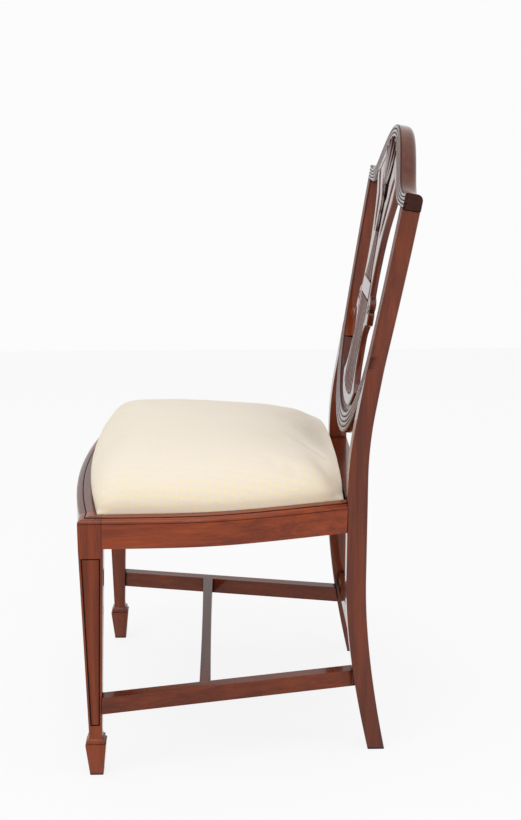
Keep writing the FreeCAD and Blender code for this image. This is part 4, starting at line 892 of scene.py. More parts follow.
SPLAT_SIDE = (
    (1.0, 1.0), (0.811, 0.906), (0.647, 0.828), (0.542, 0.753), (0.487, 0.67), (0.471, 0.587),
    (0.504, 0.512),
)
SPLAT_LOBE = (
    (0.504, 0.512), (0.59, 0.502), (0.652, 0.484), (0.648, 0.463), (0.622, 0.457), (0.655, 0.447),
    (0.682, 0.428), (0.69, 0.406), (0.688, 0.396),
)
SPLAT_LIP = ((0.688, 0.396), (0.6, 0.392), (0.535, 0.383))
SPLAT_VASE = ((0.535, 0.383), (0.429, 0.34), (0.433, 0.269), (0.521, 0.172), (0.723, 0.102))
SPLAT_BASE = ((0.723, 0.102), (0.555, 0.047), (0.387, 0.019), (0.0, 0.0))
OUTER_SLOT_OUT = (
    (0.72, 1.176), (0.785, 1.0), (0.69, 0.961), (0.571, 0.906), (0.44, 0.817), (0.31, 0.762),
)
OUTER_SLOT_IN = (
    (0.31, 0.762), (0.345, 0.817), (0.454, 0.906), (0.571, 0.961), (0.65, 0.995), (0.72, 1.176),
)
INNER_SLOT_OUT = (
    (0.395, 1.73), (0.42, 1.387), (0.36, 1.026), (0.302, 0.961), (0.244, 0.925), (0.15, 0.904),
)
INNER_SLOT_IN = (
    (0.15, 0.904), (0.076, 0.925), (0.09, 0.961), (0.168, 1.026), (0.26, 1.44), (0.395, 1.73),
)
SPLAT_BACK = 12.3
SPLAT_CELL = 1.3
SPLAT_CRISP = 40


def splat_place(pair):
    across, up = pair
    if up > 1:
        height = CREST_SHOULDER + (CREST_ARCH - CREST_SHOULDER) * (up - 1)
    else:
        height = SPLAT_FOOT + (CREST_SHOULDER - SPLAT_FOOT) * up
    return SPLAT_HALF * across, rise(height)


def splat_outlines():
    """Closed lines of the board's edge and of its four slots."""
    def smooth(pairs):
        return smooth_through([splat_place(pair) for pair in pairs], 60)

    right = [smooth(pairs) for pairs in (SPLAT_SIDE, SPLAT_LOBE, SPLAT_LIP, SPLAT_VASE)]
    foot = smooth(SPLAT_BASE + tuple((-across, up) for across, up in SPLAT_BASE[-2::-1]))
    left = [line[::-1] * (-1, 1) for line in right[::-1]]
    edge = np.vstack([line[:-1] for line in [crest_arch()] + right + [foot] + left])
    outlines = [edge]
    for out_line, in_line in ((OUTER_SLOT_OUT, OUTER_SLOT_IN), (INNER_SLOT_OUT, INNER_SLOT_IN)):
        slot = np.vstack([smooth(out_line)[:-1], smooth(in_line)[:-1]])
        outlines += [slot, slot * (-1, 1)]
    return outlines


def distance_inside(points, outlines):
    """How far inside the board each point lies. It is negative outside."""
    nearest = np.full(len(points), 1e9)
    crossings = np.zeros(len(points), int)
    for outline in outlines:
        for start, end in zip(outline, np.roll(outline, -1, axis=0)):
            step = end - start
            length = float(step @ step)
            if length < 1e-12:
                continue
            share = np.clip(((points - start) @ step) / length, 0, 1)
            away = points - start - share[:, None] * step
            nearest = np.minimum(nearest, np.einsum("ij,ij->i", away, away))
            if start[1] != end[1]:
                spans = (points[:, 1] >= min(start[1], end[1])) & (points[:, 1] < max(start[1], end[1]))
                x_at = start[0] + (points[:, 1] - start[1]) * step[0] / step[1]
                crossings += (spans & (points[:, 0] < x_at)).astype(int)
    return np.sqrt(nearest) * np.where(crossings % 2 == 1, 1, -1)


VASE_UPS = (rise(541), rise(552), rise(570), rise(600), rise(650), rise(672), rise(698))
VASE_HALVES = (36, 54, 55, 46, 45, 46, 47)
STRIP_UPS = (rise(727), rise(748), rise(800), rise(870))
STRIP_HALVES = (38, 27, 17, 11)
TABLET_LOW = 699
TABLET_HIGH = 725
TABLET_HALF = 46
LOBE_UPS = (rise(655), rise(672), rise(690), rise(708))
LOBE_HALVES = (51, 54, 57, 59.5)
SCROLL_EYE = (67, rise(688))
SCROLL_RADIUS = 5.5
FLUSH_FROM = rise(850)
FLUSH_TO = rise(884)
EDGE_ROUND = 3
CUT_SLOPE = 1.2


def inside_of(distance, slope=CUT_SLOPE):
    """1 on the inner side of a cut, and 0 outside it, with the cut's side as wide as the slope."""
    return between(distance, 0, slope)


def mark_along(distance, half):
    """A cut line that is deepest where the distance to it is 0."""
    return between(half - np.abs(distance), 0, half)


def splat_depth(x, up, inside):
    """The carved face: rounded ribbons, the sunk field of the vase, its tablet, lobes and grooves."""
    far = np.abs(x)
    rounded = 1.4 * (1 - np.clip(inside / EDGE_ROUND, 0, 1)) ** 2
    face = 2.4 - 1.7 * between(up, FLUSH_FROM, FLUSH_TO)
    field_half = np.interp(up, VASE_UPS, VASE_HALVES)
    field_low = VASE_UPS[0] + 7 * (far / 45) ** 2
    in_field = inside_of(field_half - far) * inside_of(up - field_low) * inside_of(rise(TABLET_LOW) - up)
    in_tablet = between(up, rise(TABLET_LOW), rise(TABLET_LOW + 1)) * inside_of(rise(TABLET_HIGH) - up, 1)
    strip_half = np.interp(up, STRIP_UPS, STRIP_HALVES)
    above = between(up, rise(TABLET_HIGH), rise(TABLET_HIGH + 1))
    in_strip = inside_of(strip_half - far) * above * inside_of(rise(880) - up, 6)
    groove = mark_along(far - (strip_half + CUT_SLOPE), 1.8) * above * inside_of(rise(872) - up, 8)
    lobe_half = np.interp(up, LOBE_UPS, LOBE_HALVES)
    in_lobe = between(up, rise(664), rise(668)) * inside_of(rise(704) - up, 4)
    lobe_cut = mark_along(far - lobe_half, 1.9) * in_lobe
    from_eye = np.hypot(far - SCROLL_EYE[0], up - SCROLL_EYE[1])
    scroll = mark_along(from_eye - SCROLL_RADIUS, 1.4) * in_lobe
    seam_line = np.minimum(np.abs(up - rise(TABLET_LOW - 1)), np.abs(up - rise(TABLET_HIGH + 1)))
    seam = mark_along(seam_line, 1.6) * inside_of(TABLET_HALF + 2 - far, 2)
    depth = face + rounded + 2.2 * in_field + 2.0 * in_strip + 1.2 * groove + 2.4 * lobe_cut
    depth = depth + 1.6 * scroll + 1.2 * seam - 0.9 * in_tablet * inside_of(TABLET_HALF - far)
    # Painted shade in the sunk field, the grooves, cuts and seams.
    hollow = np.clip(0.7 * in_field + 0.8 * groove + lobe_cut + scroll + 0.9 * seam + 0.7 * in_strip, 0, 1)
    return depth, hollow


def splat_board():
    """The pierced board, cut out of a fine grid along its outline and carved on its face."""
    outlines = splat_outlines()
    low = outlines[0].min(axis=0) - 2 * SPLAT_CELL
    high = outlines[0].max(axis=0) + 2 * SPLAT_CELL
    xs = np.arange(low[0], high[0], SPLAT_CELL)
    ups = np.arange(low[1], high[1], SPLAT_CELL)
    grid_x, grid_up = np.meshgrid(xs, ups)
    points = np.column_stack([grid_x.ravel(), grid_up.ravel()])
    inside = distance_inside(points, outlines)
    inside[np.abs(inside) < 1e-3] = 1e-3
    wide = len(xs)
    flat = []
    found = {}

    def corner(index):
        if index not in found:
            found[index] = len(flat)
            flat.append((points[index], inside[index]))
        return found[index]

    def crossing(first, second):
        key = (min(first, second), max(first, second))
        if key not in found:
            share = inside[first] / (inside[first] - inside[second])
            found[key] = len(flat)
            flat.append((points[first] + (points[second] - points[first]) * share, 0.0))
        return found[key]

    polygons = []
    for row in range(len(ups) - 1):
        for column in range(wide - 1):
            base = row * wide + column
            square = (base, base + 1, base + wide + 1, base + wide)
            signs = [inside[index] > 0 for index in square]
            if not any(signs):
                continue
            polygon = []
            for number in range(4):
                here, after = square[number], square[(number + 1) % 4]
                if inside[here] > 0:
                    polygon.append(corner(here))
                if (inside[here] > 0) != (inside[after] > 0):
                    polygon.append(crossing(here, after))
            if len(polygon) > 2:
                polygons.append(tuple(polygon))
    places = np.array([place for place, _ in flat])
    depths, marks = splat_depth(*places.T, np.array([distance for _, distance in flat]))
    vertices = [on_shield(x, depth, up) for (x, up), depth in zip(places, depths)]
    vertices += [on_shield(x, SPLAT_BACK, up) for x, up in places]
    count = len(places)
    faces = list(polygons)
    faces += [tuple(index + count for index in reversed(polygon)) for polygon in polygons]
    edges = [pair for polygon in polygons for pair in zip(polygon, polygon[1:] + polygon[:1])]
    known = set(edges)
    for here, after in edges:
        if (after, here) not in known:
            faces.append((after, here, here + count, after + count))
    piece = finished_piece("splat_carved", vertices, faces, splat_wood)
    mark_hollows(piece, list(marks) + [0] * count)
    sharpen(piece, SPLAT_CRISP)
    return piece


# Carved leaves and reeds on the splat


LEAF_STEPS = 14
LEAF_SIDES = 9
LEAF_SINK = 1.5


def leaf(base, tip, width, bow, lift):
    """Rows of a pointed leaf between two points on the shield, arched sideways, with a midrib and veins."""
    base, tip = np.array(base, float), np.array(tip, float)
    length = np.linalg.norm(tip - base)
    along = (tip - base) / length
    across = np.array((-along[1], along[0]))
    rows = []
    marks = []
    for step in range(LEAF_STEPS + 1):
        share = step / LEAF_STEPS
        middle = base + along * length * share + across * bow * math.sin(math.pi * share)
        half = width * (math.sin(math.pi * min(1.0, share * 0.82 + 0.14)) ** 0.8)
        if step in (0, LEAF_STEPS):
            half = width * 0.08
        row = []
        for reach in np.linspace(-1, 1, LEAF_SIDES):
            x, up = middle + across * half * reach
            crown = math.sqrt(max(0.0, 1 - reach ** 2))
            vein = 0.22 * math.sin(share * 26 + abs(reach) * 5)
            rib = 0.5 * max(0.0, 1 - abs(reach) * 4)
            height = lift * (0.35 + 0.65 * crown + rib * 0.35) + vein * crown * (1 - crown * 0.3)
            row.append((x, height, up))
            # Painted shade towards the leaf's edges, where it meets the wood.
            marks.append(max(0.0, 1.0 - crown * 1.05))
        rows.append(row)
    return rows, marks


def face_under(up):
    """Depth of the wood's face that the carving lies on."""
    return 2.6 - 2.0 * float(between(up, FLUSH_FROM, FLUSH_TO))


def leaf_mesh(rows, marks):
    """Closes a leaf's face with a back that is sunk in the wood."""
    points = [point for row in rows for point in row]
    places = [on_shield(x, face_under(up) - height, up) for x, height, up in points]
    places += [on_shield(x, face_under(up) + LEAF_SINK, up) for x, _, up in points]
    count = len(points)
    faces = []
    for step in range(LEAF_STEPS):
        for number in range(LEAF_SIDES - 1):
            start = step * LEAF_SIDES + number
            square = (start, start + 1, start + LEAF_SIDES + 1, start + LEAF_SIDES)
            faces.append(square)
            faces.append(tuple(index + count for index in reversed(square)))
    rim = list(range(LEAF_SIDES))
    rim += [step * LEAF_SIDES + LEAF_SIDES - 1 for step in range(1, LEAF_STEPS + 1)]
    rim += [LEAF_STEPS * LEAF_SIDES + number for number in range(LEAF_SIDES - 2, -1, -1)]
    rim += [step * LEAF_SIDES for step in range(LEAF_STEPS - 1, 0, -1)]
    for here, after in zip(rim, rim[1:] + rim[:1]):
        faces.append((here, here + count, after + count, after))
    # The sunk backs are marked for full painted shade.
    return places, faces, marks + [1.0] * count


BOTH_SIDES = (-1, 1)
HUSK_TOPS = (884, 858, 833)


def wheat_ear():
    """The ear of leaves under the crest, with three husks hanging below it."""
    leaves = [leaf((side * 10, rise(876)), (side * 50, rise(929)), 9, side * -5, 1.6) for side in BOTH_SIDES]
    leaves += [leaf((side * 6, rise(872)), (side * 27, rise(941)), 9, side * -3, 2.4) for side in BOTH_SIDES]
    leaves.append(leaf((0, rise(868)), (0, rise(947)), 10, 0, 3.2))
    for top in HUSK_TOPS:
        for side in BOTH_SIDES:
            leaves.append(leaf((side, rise(top)), (side * 9, rise(top - 27)), 5.5, side * 3.5, 2.0))
        leaves.append(leaf((0, rise(top)), (0, rise(top - 32)), 5, 0, 3.0))
    vertices = []
    faces = []
    marks = []
    for rows, leaf_marks in leaves:
        start = len(vertices)
        places, leaf_faces, all_marks = leaf_mesh(rows, leaf_marks)
        vertices += places
        faces += [tuple(index + start for index in face) for face in leaf_faces]
        marks += all_marks
    piece = finished_piece("wheat_ear_carving", vertices, faces, splat_wood)
    mark_hollows(piece, marks)
    return piece


VASE_REEDS = 7
NECK_REEDS = 5
REED_RADIUS = 5
REED_FILL = 0.46
REED_SIDES = 12


def reed_shares(count):
    """Places of the reeds across the board, as shares of its half width."""
    return [(number - (count - 1) / 2) / (count / 2) for number in range(count)]


def reed_paths():
    """Middle lines of the reeds on the vase and on the neck, as points on the shield with their radii."""
    paths = []
    for share in reed_shares(VASE_REEDS):
        line = []
        for up in np.linspace(rise(543) + 8 * share ** 2, rise(TABLET_LOW - 2), 24):
            half = float(np.interp(up, VASE_UPS, VASE_HALVES)) - 1
            radius = min(5.4, half * 2 / VASE_REEDS * REED_FILL)
            line.append((on_shield(half * share, 1.5 + radius, up), radius))
        paths.append(line)
    for share in reed_shares(NECK_REEDS):
        line = []
        for up in np.linspace(rise(TABLET_HIGH + 3), rise(806 - 14 * abs(share)), 16):
            half = float(np.interp(up, STRIP_UPS, STRIP_HALVES)) - 1
            radius = half * 2 / NECK_REEDS * REED_FILL
            line.append((on_shield(half * share, 1.2 + radius, up), radius))
        paths.append(line)
    return paths


def reed_tree(material):
    """Turns each line of the input mesh into a round reed of the given thickness."""
    tree = bpy.data.node_groups.new("reeds_on_splat", "GeometryNodeTree")
    tree.interface.new_socket("Lines", in_out="INPUT", socket_type="NodeSocketGeometry")
    size = tree.interface.new_socket("Reed Radius", in_out="INPUT", socket_type="NodeSocketFloat")
    size.default_value = REED_RADIUS * MM
    tree.interface.new_socket("Reeds", in_out="OUTPUT", socket_type="NodeSocketGeometry")
    nodes = tree.nodes
    start = nodes.new("NodeGroupInput")
    lines = nodes.new("GeometryNodeMeshToCurve")
    thickness = nodes.new("GeometryNodeInputNamedAttribute")
    thickness.data_type = "FLOAT"
    thickness.inputs["Name"].default_value = "reed_share"
    scaled = nodes.new("ShaderNodeMath")
    scaled.operation = "MULTIPLY"
    profile = nodes.new("GeometryNodeCurvePrimitiveCircle")
    profile.inputs["Resolution"].default_value = REED_SIDES
    profile.inputs["Radius"].default_value = 1.0
    radius = nodes.new("GeometryNodeSetCurveRadius")
    radius.inputs["Radius"].default_value = 1.0
    sweep = nodes.new("GeometryNodeCurveToMesh")
    sweep.inputs["Fill Caps"].default_value = True
    realise = nodes.new("GeometryNodeRealizeInstances")
    paint = nodes.new("GeometryNodeSetMaterial")
    paint.inputs["Material"].default_value = material
    end = nodes.new("NodeGroupOutput")
    wires = (
        (start.outputs["Lines"], lines.inputs["Mesh"]),
        (thickness.outputs["Attribute"], scaled.inputs[0]),
        (start.outputs["Reed Radius"], scaled.inputs[1]),
        (lines.outputs["Curve"], radius.inputs["Curve"]),
        (radius.outputs["Curve"], sweep.inputs["Curve"]),
        (profile.outputs["Curve"], sweep.inputs["Profile Curve"]),
        (scaled.outputs[0], sweep.inputs["Scale"]),
        (sweep.outputs["Mesh"], realise.inputs["Geometry"]),
        (realise.outputs["Geometry"], paint.inputs["Geometry"]),
        (paint.outputs["Geometry"], end.inputs["Reeds"]),
    )
    for output, entry in wires:
        tree.links.new(output, entry)
    return tree, size.identifier


def plain_mesh(piece):
    """The mesh that the piece's modifiers make."""
    return bpy.data.meshes.new_from_object(piece.evaluated_get(bpy.context.evaluated_depsgraph_get()))


def splat_reeds():
    """The round reeds on the vase and the neck of the splat."""
    vertices = []
    edges = []
    shares = []
    for line in reed_paths():
        start = len(vertices)
        vertices += [tuple(place) for place, _ in line]
        edges += [(start + number, start + number + 1) for number in range(len(line) - 1)]
        shares += [radius / REED_RADIUS for _, radius in line]
    mesh = bpy.data.meshes.new("splat_reeds")
    mesh.from_pydata(vertices, edges, [])
    attribute = mesh.attributes.new("reed_share", "FLOAT", "POINT")
    attribute.data.foreach_set("value", shares)
    holder = bpy.data.objects.new("splat_reeds_lines", mesh)
    bpy.context.scene.collection.objects.link(holder)
    modifier = holder.modifiers.new("reeds", "NODES")
    modifier.node_group, radius_input = reed_tree(splat_wood)
    modifier[radius_input] = REED_RADIUS * MM
    bpy.context.view_layer.update()
    made = plain_mesh(holder)
    bpy.data.objects.remove(holder)
    return add_piece("splat_reeds", made)


# Front legs and seat rails

RAIL_BOTTOM = 371.2
RAIL_CRISP = 35
RAIL_THICKNESS = 36
LIP_REACH = 25
REBATE = 398
QUIRK = 1.2
BEAD_WIDTH = 8.6
BEAD_HEIGHT = 4.4


def moulding_steps():
    """The moulded top edge of legs and rails, over a quirk, a bead and a lip, as insets and heights."""
    top = SEAT_HEIGHT
    steps = [(0, top - 7.8), (QUIRK, top - 7.2), (QUIRK, top - 6.4)]
    for degrees in range(-16, 91, 15):
        turn = math.radians(degrees)
        steps.append((BEAD_WIDTH * (1 - math.cos(turn)), top - 1.3 - BEAD_HEIGHT * (1 - math.sin(turn))))
    return steps + [(9.6, top - 1.5), (10.0, top - 3.0), (11.0, top - 3.0), (11.3, top - 0.6), (12.0, top)]


def rail_section():
    """The rail's section, as insets and heights."""
    outer = [(1.0, RAIL_BOTTOM), (0.25, RAIL_BOTTOM + 0.3), (0, RAIL_BOTTOM + 1), (0, RAIL_BOTTOM + 18)]
    lip = [(LIP_REACH / 2 + 3, SEAT_HEIGHT), (LIP_REACH - 0.6, SEAT_HEIGHT), (LIP_REACH, SEAT_HEIGHT - 0.6)]
    inner = [(LIP_REACH, REBATE), (RAIL_THICKNESS, REBATE), (RAIL_THICKNESS, RAIL_BOTTOM)]
    return outer + moulding_steps() + lip + inner


def moulded_rail(name, path, place, material):
    """A rail whose moulded section follows a line of points, each with the direction across the rail."""
    section = rail_section()
    rings = []
    for point, across in path:
        rings.append([place(*(point + across * inset), height) for inset, height in section])
    return skinned_piece(name, rings, material, crisp=RAIL_CRISP)


def side_rail(side, hand):
    handles = ((CHAIR_HALF, LEG_BLOCK), (SIDE_BEND, SIDE_BEND_REACH), (SIDE_BEND, SIDE_BEND_REACH))
    handles += ((POST_HALF, POST_FRONT),)
    line = bezier_points(handles, 41)
    inner = bezier_points([(x - RAIL_THICKNESS, y) for x, y in handles], 41)
    path = []
    for outside, inside in zip(line, inner):
        across = (inside - outside) / RAIL_THICKNESS
        path.append((outside * (side, 1), across * (side, 1)))
    return moulded_rail(f"side_seat_rail_{hand}_moulded", path, on_seat, side_wood)


def bowed(x):
    """The bow of the front rail at a distance across."""
    return -FRONT_BOW * (1 - (x / LEG_INNER) ** 2)


def front_rail():
    path = [(np.array((x, bowed(x))), np.array((0.0, 1.0))) for x in np.linspace(-LEG_INNER, LEG_INNER, 61)]
    return moulded_rail("front_seat_rail_moulded", path, to_room, cross_wood)


SPADE_FOOT = 19.6
SPADE_WIDTH = 31
SPADE_HEIGHT = 52
COLLAR_LOW = 53.5
COLLAR_WIDTH = 27
COLLAR_HIGH = 60
COVE = ((60.8, 23.6), (61.8, 21.9), (62.8, 21.0), (64.4, 20.2), (67, 19.5))
PANEL_LOW = 83
PANEL_HIGH = 356.5
PANEL_MARGIN = 3
PANEL_GROOVE = 2
PANEL_SUNK = 1.5
PANEL_FIELD = 0.6
GROOVE_LEDGE = 0.3
ARRIS = 0.6
LEG_CRISP = 50
PLAIN_ROW = (0,) * 11
ROW_DEPTHS = {
    "plain": PLAIN_ROW,
    "notched": PLAIN_ROW,
    "groove": (0, 0) + (PANEL_SUNK,) * 7 + (0, 0),
    "field": (0, 0) + (PANEL_SUNK,) * 2 + (PANEL_FIELD,) * 3 + (PANEL_SUNK,) * 2 + (0, 0),
}
BLOCK_ROWS = ((RAIL_BOTTOM, "plain"), (REBATE, "plain"), (REBATE, "notched"))


def leg_share(height):
    """0 at the top of the foot's cove and 1 at the bottom of the rails."""
    return held_in((height - COVE[-1][0]) / (RAIL_BOTTOM - COVE[-1][0]), 0.0, 1.0)


def leg_rows():
    """Rows of a front leg from the floor up: height, width, inset of the moulding and kind of row."""
    foot = [(0, SPADE_FOOT), (0.8, SPADE_FOOT + 0.9), (SPADE_HEIGHT, SPADE_WIDTH)]
    foot += [(COLLAR_LOW - 0.3, SPADE_WIDTH), (COLLAR_LOW, SPADE_WIDTH - 0.8), (COLLAR_LOW, COLLAR_WIDTH)]
    foot += [(COLLAR_HIGH - 0.5, COLLAR_WIDTH), (COLLAR_HIGH, COLLAR_WIDTH - 1), *COVE]
    rows = [(height, width, 0, "plain") for height, width in foot]
    inner_low, inner_high = PANEL_LOW + PANEL_GROOVE, PANEL_HIGH - PANEL_GROOVE
    panel = [(PANEL_LOW, "plain"), (PANEL_LOW + GROOVE_LEDGE, "groove"), (inner_low - GROOVE_LEDGE, "groove")]
    panel += [(inner_low, "field"), (inner_high, "field"), (inner_high + GROOVE_LEDGE, "groove")]
    panel += [(PANEL_HIGH - GROOVE_LEDGE, "groove"), (PANEL_HIGH, "plain")]
    neck = COVE[-1][1]
    rows += [(height, neck + (LEG_BLOCK - neck) * leg_share(height), 0, kind) for height, kind in panel]
    rows += [(height, LEG_BLOCK, 0, kind) for height, kind in BLOCK_ROWS]
    return rows + [(height, LEG_BLOCK, inset, "notched") for inset, height in moulding_steps()]


def front_leg(side, hand):
    """A square tapered leg with sunk panels, a spade foot and the moulded block that takes the rails."""
    field = PANEL_MARGIN + PANEL_GROOVE
    near_stops = (ARRIS, PANEL_MARGIN, PANEL_MARGIN + GROOVE_LEDGE, field - GROOVE_LEDGE, field)
    rings = []
    hollows = []
    for height, width, inset, kind in leg_rows():
        middle = SPADE_WIDTH / 2 + (LEG_BLOCK - SPADE_WIDTH) / 2 * leg_share(height)
        near = middle - width / 2
        far = middle + width / 2
        notch = LIP_REACH if kind == "notched" else far
        stops = near_stops + (width / 2,) + tuple(width - stop for stop in near_stops[::-1])
        front = []
        for stop, depth in zip(stops, ROW_DEPTHS[kind]):
            at_field_edge = 0 < depth <= 1 and stop in (field, width - field)
            # Painted shade in the groove and a little at the field's edge.
            hollow = 0.75 if depth > 1 else 0.35 if at_field_edge else 0.0
            front.append((max(near + stop, near + inset), near + inset + depth, hollow))
        back = [(far, near + inset + ARRIS), (far, min(notch, far - ARRIS))]
        back += [(notch, min(notch, far - ARRIS)), (notch if kind == "notched" else far - ARRIS, far)]
        back += [(near + inset + ARRIS, far)]
        profile = front + [(out, behind, 0.0) for out, behind in back]
        profile += [(behind, out, hollow) for out, behind, hollow in front[::-1]]
        rings.append([to_room(side * (CHAIR_HALF - out), behind, height) for out, behind, _ in profile])
        hollows += [hollow for _, _, hollow in profile]
    return skinned_piece(f"front_leg_{hand}_panelled", rings, leg_wood, hollows, crisp=LEG_CRISP)


# The drop-in seat

SEAT_TILT = math.atan2(4, POST_FRONT - 36)
COVER_INSET = 25.8
SKIN_INSET = COVER_INSET + 0.3
COVER_LOW = 398.3
SEAT_REAR = 397.5
CROWN = 82.5
CORNER_ROUNDING = 350
RING_POINTS = 544
SKIRT_INSET = 25.4
SKIRT_FADE = 5
SKIRT_FROM = 0.965
CUSHION_VOXEL = 0.005
SEAT_CENTRE = 215
CROWN_TABLE = (
    (0.0, 1.0, 0.0, 0.0),
    (0.16, 0.998, -0.009, 0.0),
    (0.33, 0.975, -0.005, 0.01),
    (0.545, 0.922, 0.012, 0.034),
    (0.71, 0.838, 0.042, 0.098),
    (0.83, 0.72, 0.083, 0.226),
    (0.91, 0.6, 0.125, 0.328),
    (0.97, 0.42, 0.195, 0.43),
    (1.0, 0.2, 0.29, 0.511),
)


def on_seat(x, y, z):
    """A point of the drop-in seat, drawn level, set on the sloping rebate."""
    away = y - LEG_BLOCK
    up = z - SEAT_HEIGHT
    y_turned = LEG_BLOCK + away * math.cos(SEAT_TILT) + up * math.sin(SEAT_TILT)
    z_turned = SEAT_HEIGHT - away * math.sin(SEAT_TILT) + up * math.cos(SEAT_TILT)
    return to_room(x, y_turned, z_turned)


def off_seat(place):
    """The place on the level drawing of the seat that on_seat() would set here."""
    x, y, z = place / MM
    away = y + CHAIR_MIDDLE - LEG_BLOCK
    up = z - SEAT_HEIGHT
    y_level = LEG_BLOCK + away * math.cos(SEAT_TILT) - up * math.sin(SEAT_TILT)
    return x, y_level, SEAT_HEIGHT + away * math.sin(SEAT_TILT) + up * math.cos(SEAT_TILT)


def seat_ring(inset, width_share=1, front_in=0, rear_in=0, count=RING_POINTS, rounding=0):
    """A level outline of the cushion from the middle of its front, its corners rounded as asked."""
    length = SEAT_REAR - COVER_INSET
    half = (CHAIR_HALF - inset) * width_share
    rear_half = (POST_HALF - inset) * width_share
    bend_half = (SIDE_BEND - inset) * width_share
    back = SEAT_REAR - (inset - COVER_INSET) - length * rear_in
    setback = inset + length * front_in
    front = np.array([(x, setback + bowed(x)) for x in np.linspace(0, half, 30)])
    bend = (front[-1][1] + back) / 2
    side = bezier_points((front[-1], (bend_half, bend), (bend_half, bend), (rear_half, back)), 60)
    rear = np.array([(x, back) for x in np.linspace(rear_half, 0, 20)])
    right = np.vstack([front[:-1], side[:-1], rear])
    steps = run_of(right)
    at = np.linspace(0, steps[-1], count // 2 + 1)
    half_ring = np.column_stack([np.interp(at, steps, right[:, 0]), np.interp(at, steps, right[:, 1])])
    ring = np.vstack([half_ring, (half_ring * (-1, 1))[::-1][1:-1]])
    for _ in range(rounding):
        ring = ring / 2 + (np.roll(ring, 1, axis=0) + np.roll(ring, -1, axis=0)) / 4
    return ring


def cushion_rings():
    """Rings of the cushion's skin from its underside up over the crown."""
    outlines = [(seat_ring(SKIN_INSET), z) for z in (COVER_LOW, COVER_LOW + 6, SEAT_HEIGHT - 6)]
    for share, *narrowing in smooth_through(CROWN_TABLE, 26):
        outline = seat_ring(SKIN_INSET, *narrowing, rounding=round(CORNER_ROUNDING * share))
        outlines.append((outline, SEAT_HEIGHT + CROWN * share))
    return [[on_seat(x, y, z) for x, y in outline] for outline, z in outlines]


PUFF_LIMIT = 0.007
PUFF_FRAMES = 20
PUFF_CLOTH = {
    "quality": 5,
    "mass": 0.3,
    "tension_stiffness": 30,
    "compression_stiffness": 30,
    "shear_stiffness": 20,
    "bending_stiffness": 4,
    "use_pressure": True,
    "uniform_pressure_force": 4,
    "vertex_group_mass": "held",
}


def point_places(mesh):
    """The places of a mesh's points, a row for each."""
    places = np.zeros(len(mesh.vertices) * 3)
    mesh.vertices.foreach_get("co", places)
    return places.reshape(-1, 3)


def puff(piece, held_height):
    """Fills the cushion: its skin is blown up a little under pressure while its lower part stays held."""
    group = piece.vertex_groups.new(name="held")
    group.add([vertex.index for vertex in piece.data.vertices if vertex.co.z < held_height], 1.0, "REPLACE")
    rest = point_places(piece.data)
    modifier = piece.modifiers.new("cloth", "CLOTH")
    for name, value in PUFF_CLOTH.items():
        setattr(modifier.settings, name, value)
    modifier.settings.effector_weights.gravity = 0
    modifier.collision_settings.use_collision = False
    modifier.point_cache.frame_start = 1
    modifier.point_cache.frame_end = PUFF_FRAMES
    for step in range(1, PUFF_FRAMES + 1):
        bpy.context.scene.frame_set(step)
    made = piece.evaluated_get(bpy.context.evaluated_depsgraph_get())
    moved = point_places(made.data) - rest
    length = np.linalg.norm(moved, axis=1, keepdims=True)
    capped = rest + moved * np.minimum(1, PUFF_LIMIT / np.maximum(length, 1e-9))
    piece.modifiers.remove(modifier)
    piece.vertex_groups.clear()
    piece.data.vertices.foreach_set("co", capped.ravel())
    piece.data.update()
    bpy.context.scene.frame_set(1)


def apply_modifiers(piece):
    made = plain_mesh(piece)
    piece.modifiers.clear()
    old = piece.data
    piece.data = made
    bpy.data.meshes.remove(old)


CLOTH_CELL = 0.004
CLOTH_REACH = 68


def run_lengths(heights):
    """Distances over a table of heights from its middle line, along the first axis."""
    steps = np.sqrt(CLOTH_CELL ** 2 + np.diff(heights, axis=0) ** 2)
    out = np.zeros_like(heights)
    out[CLOTH_REACH + 1:] = np.cumsum(steps[CLOTH_REACH:], axis=0)
    out[:CLOTH_REACH] = -np.cumsum(steps[:CLOTH_REACH][::-1], axis=0)[::-1]
    return out


def table_cell(distance):
    """The cell of the height table that a distance from the middle falls in."""
    cell = int(math.copysign(math.floor(abs(distance) / CLOTH_CELL), distance))
    return held_in(cell, -CLOTH_REACH, CLOTH_REACH)


def slope_at(heights, column, row):
    """How much the heights change around a cell, along the first axis."""
    return abs(heights[min(column + 1, 2 * CLOTH_REACH), row] - heights[max(column - 1, 0), row])


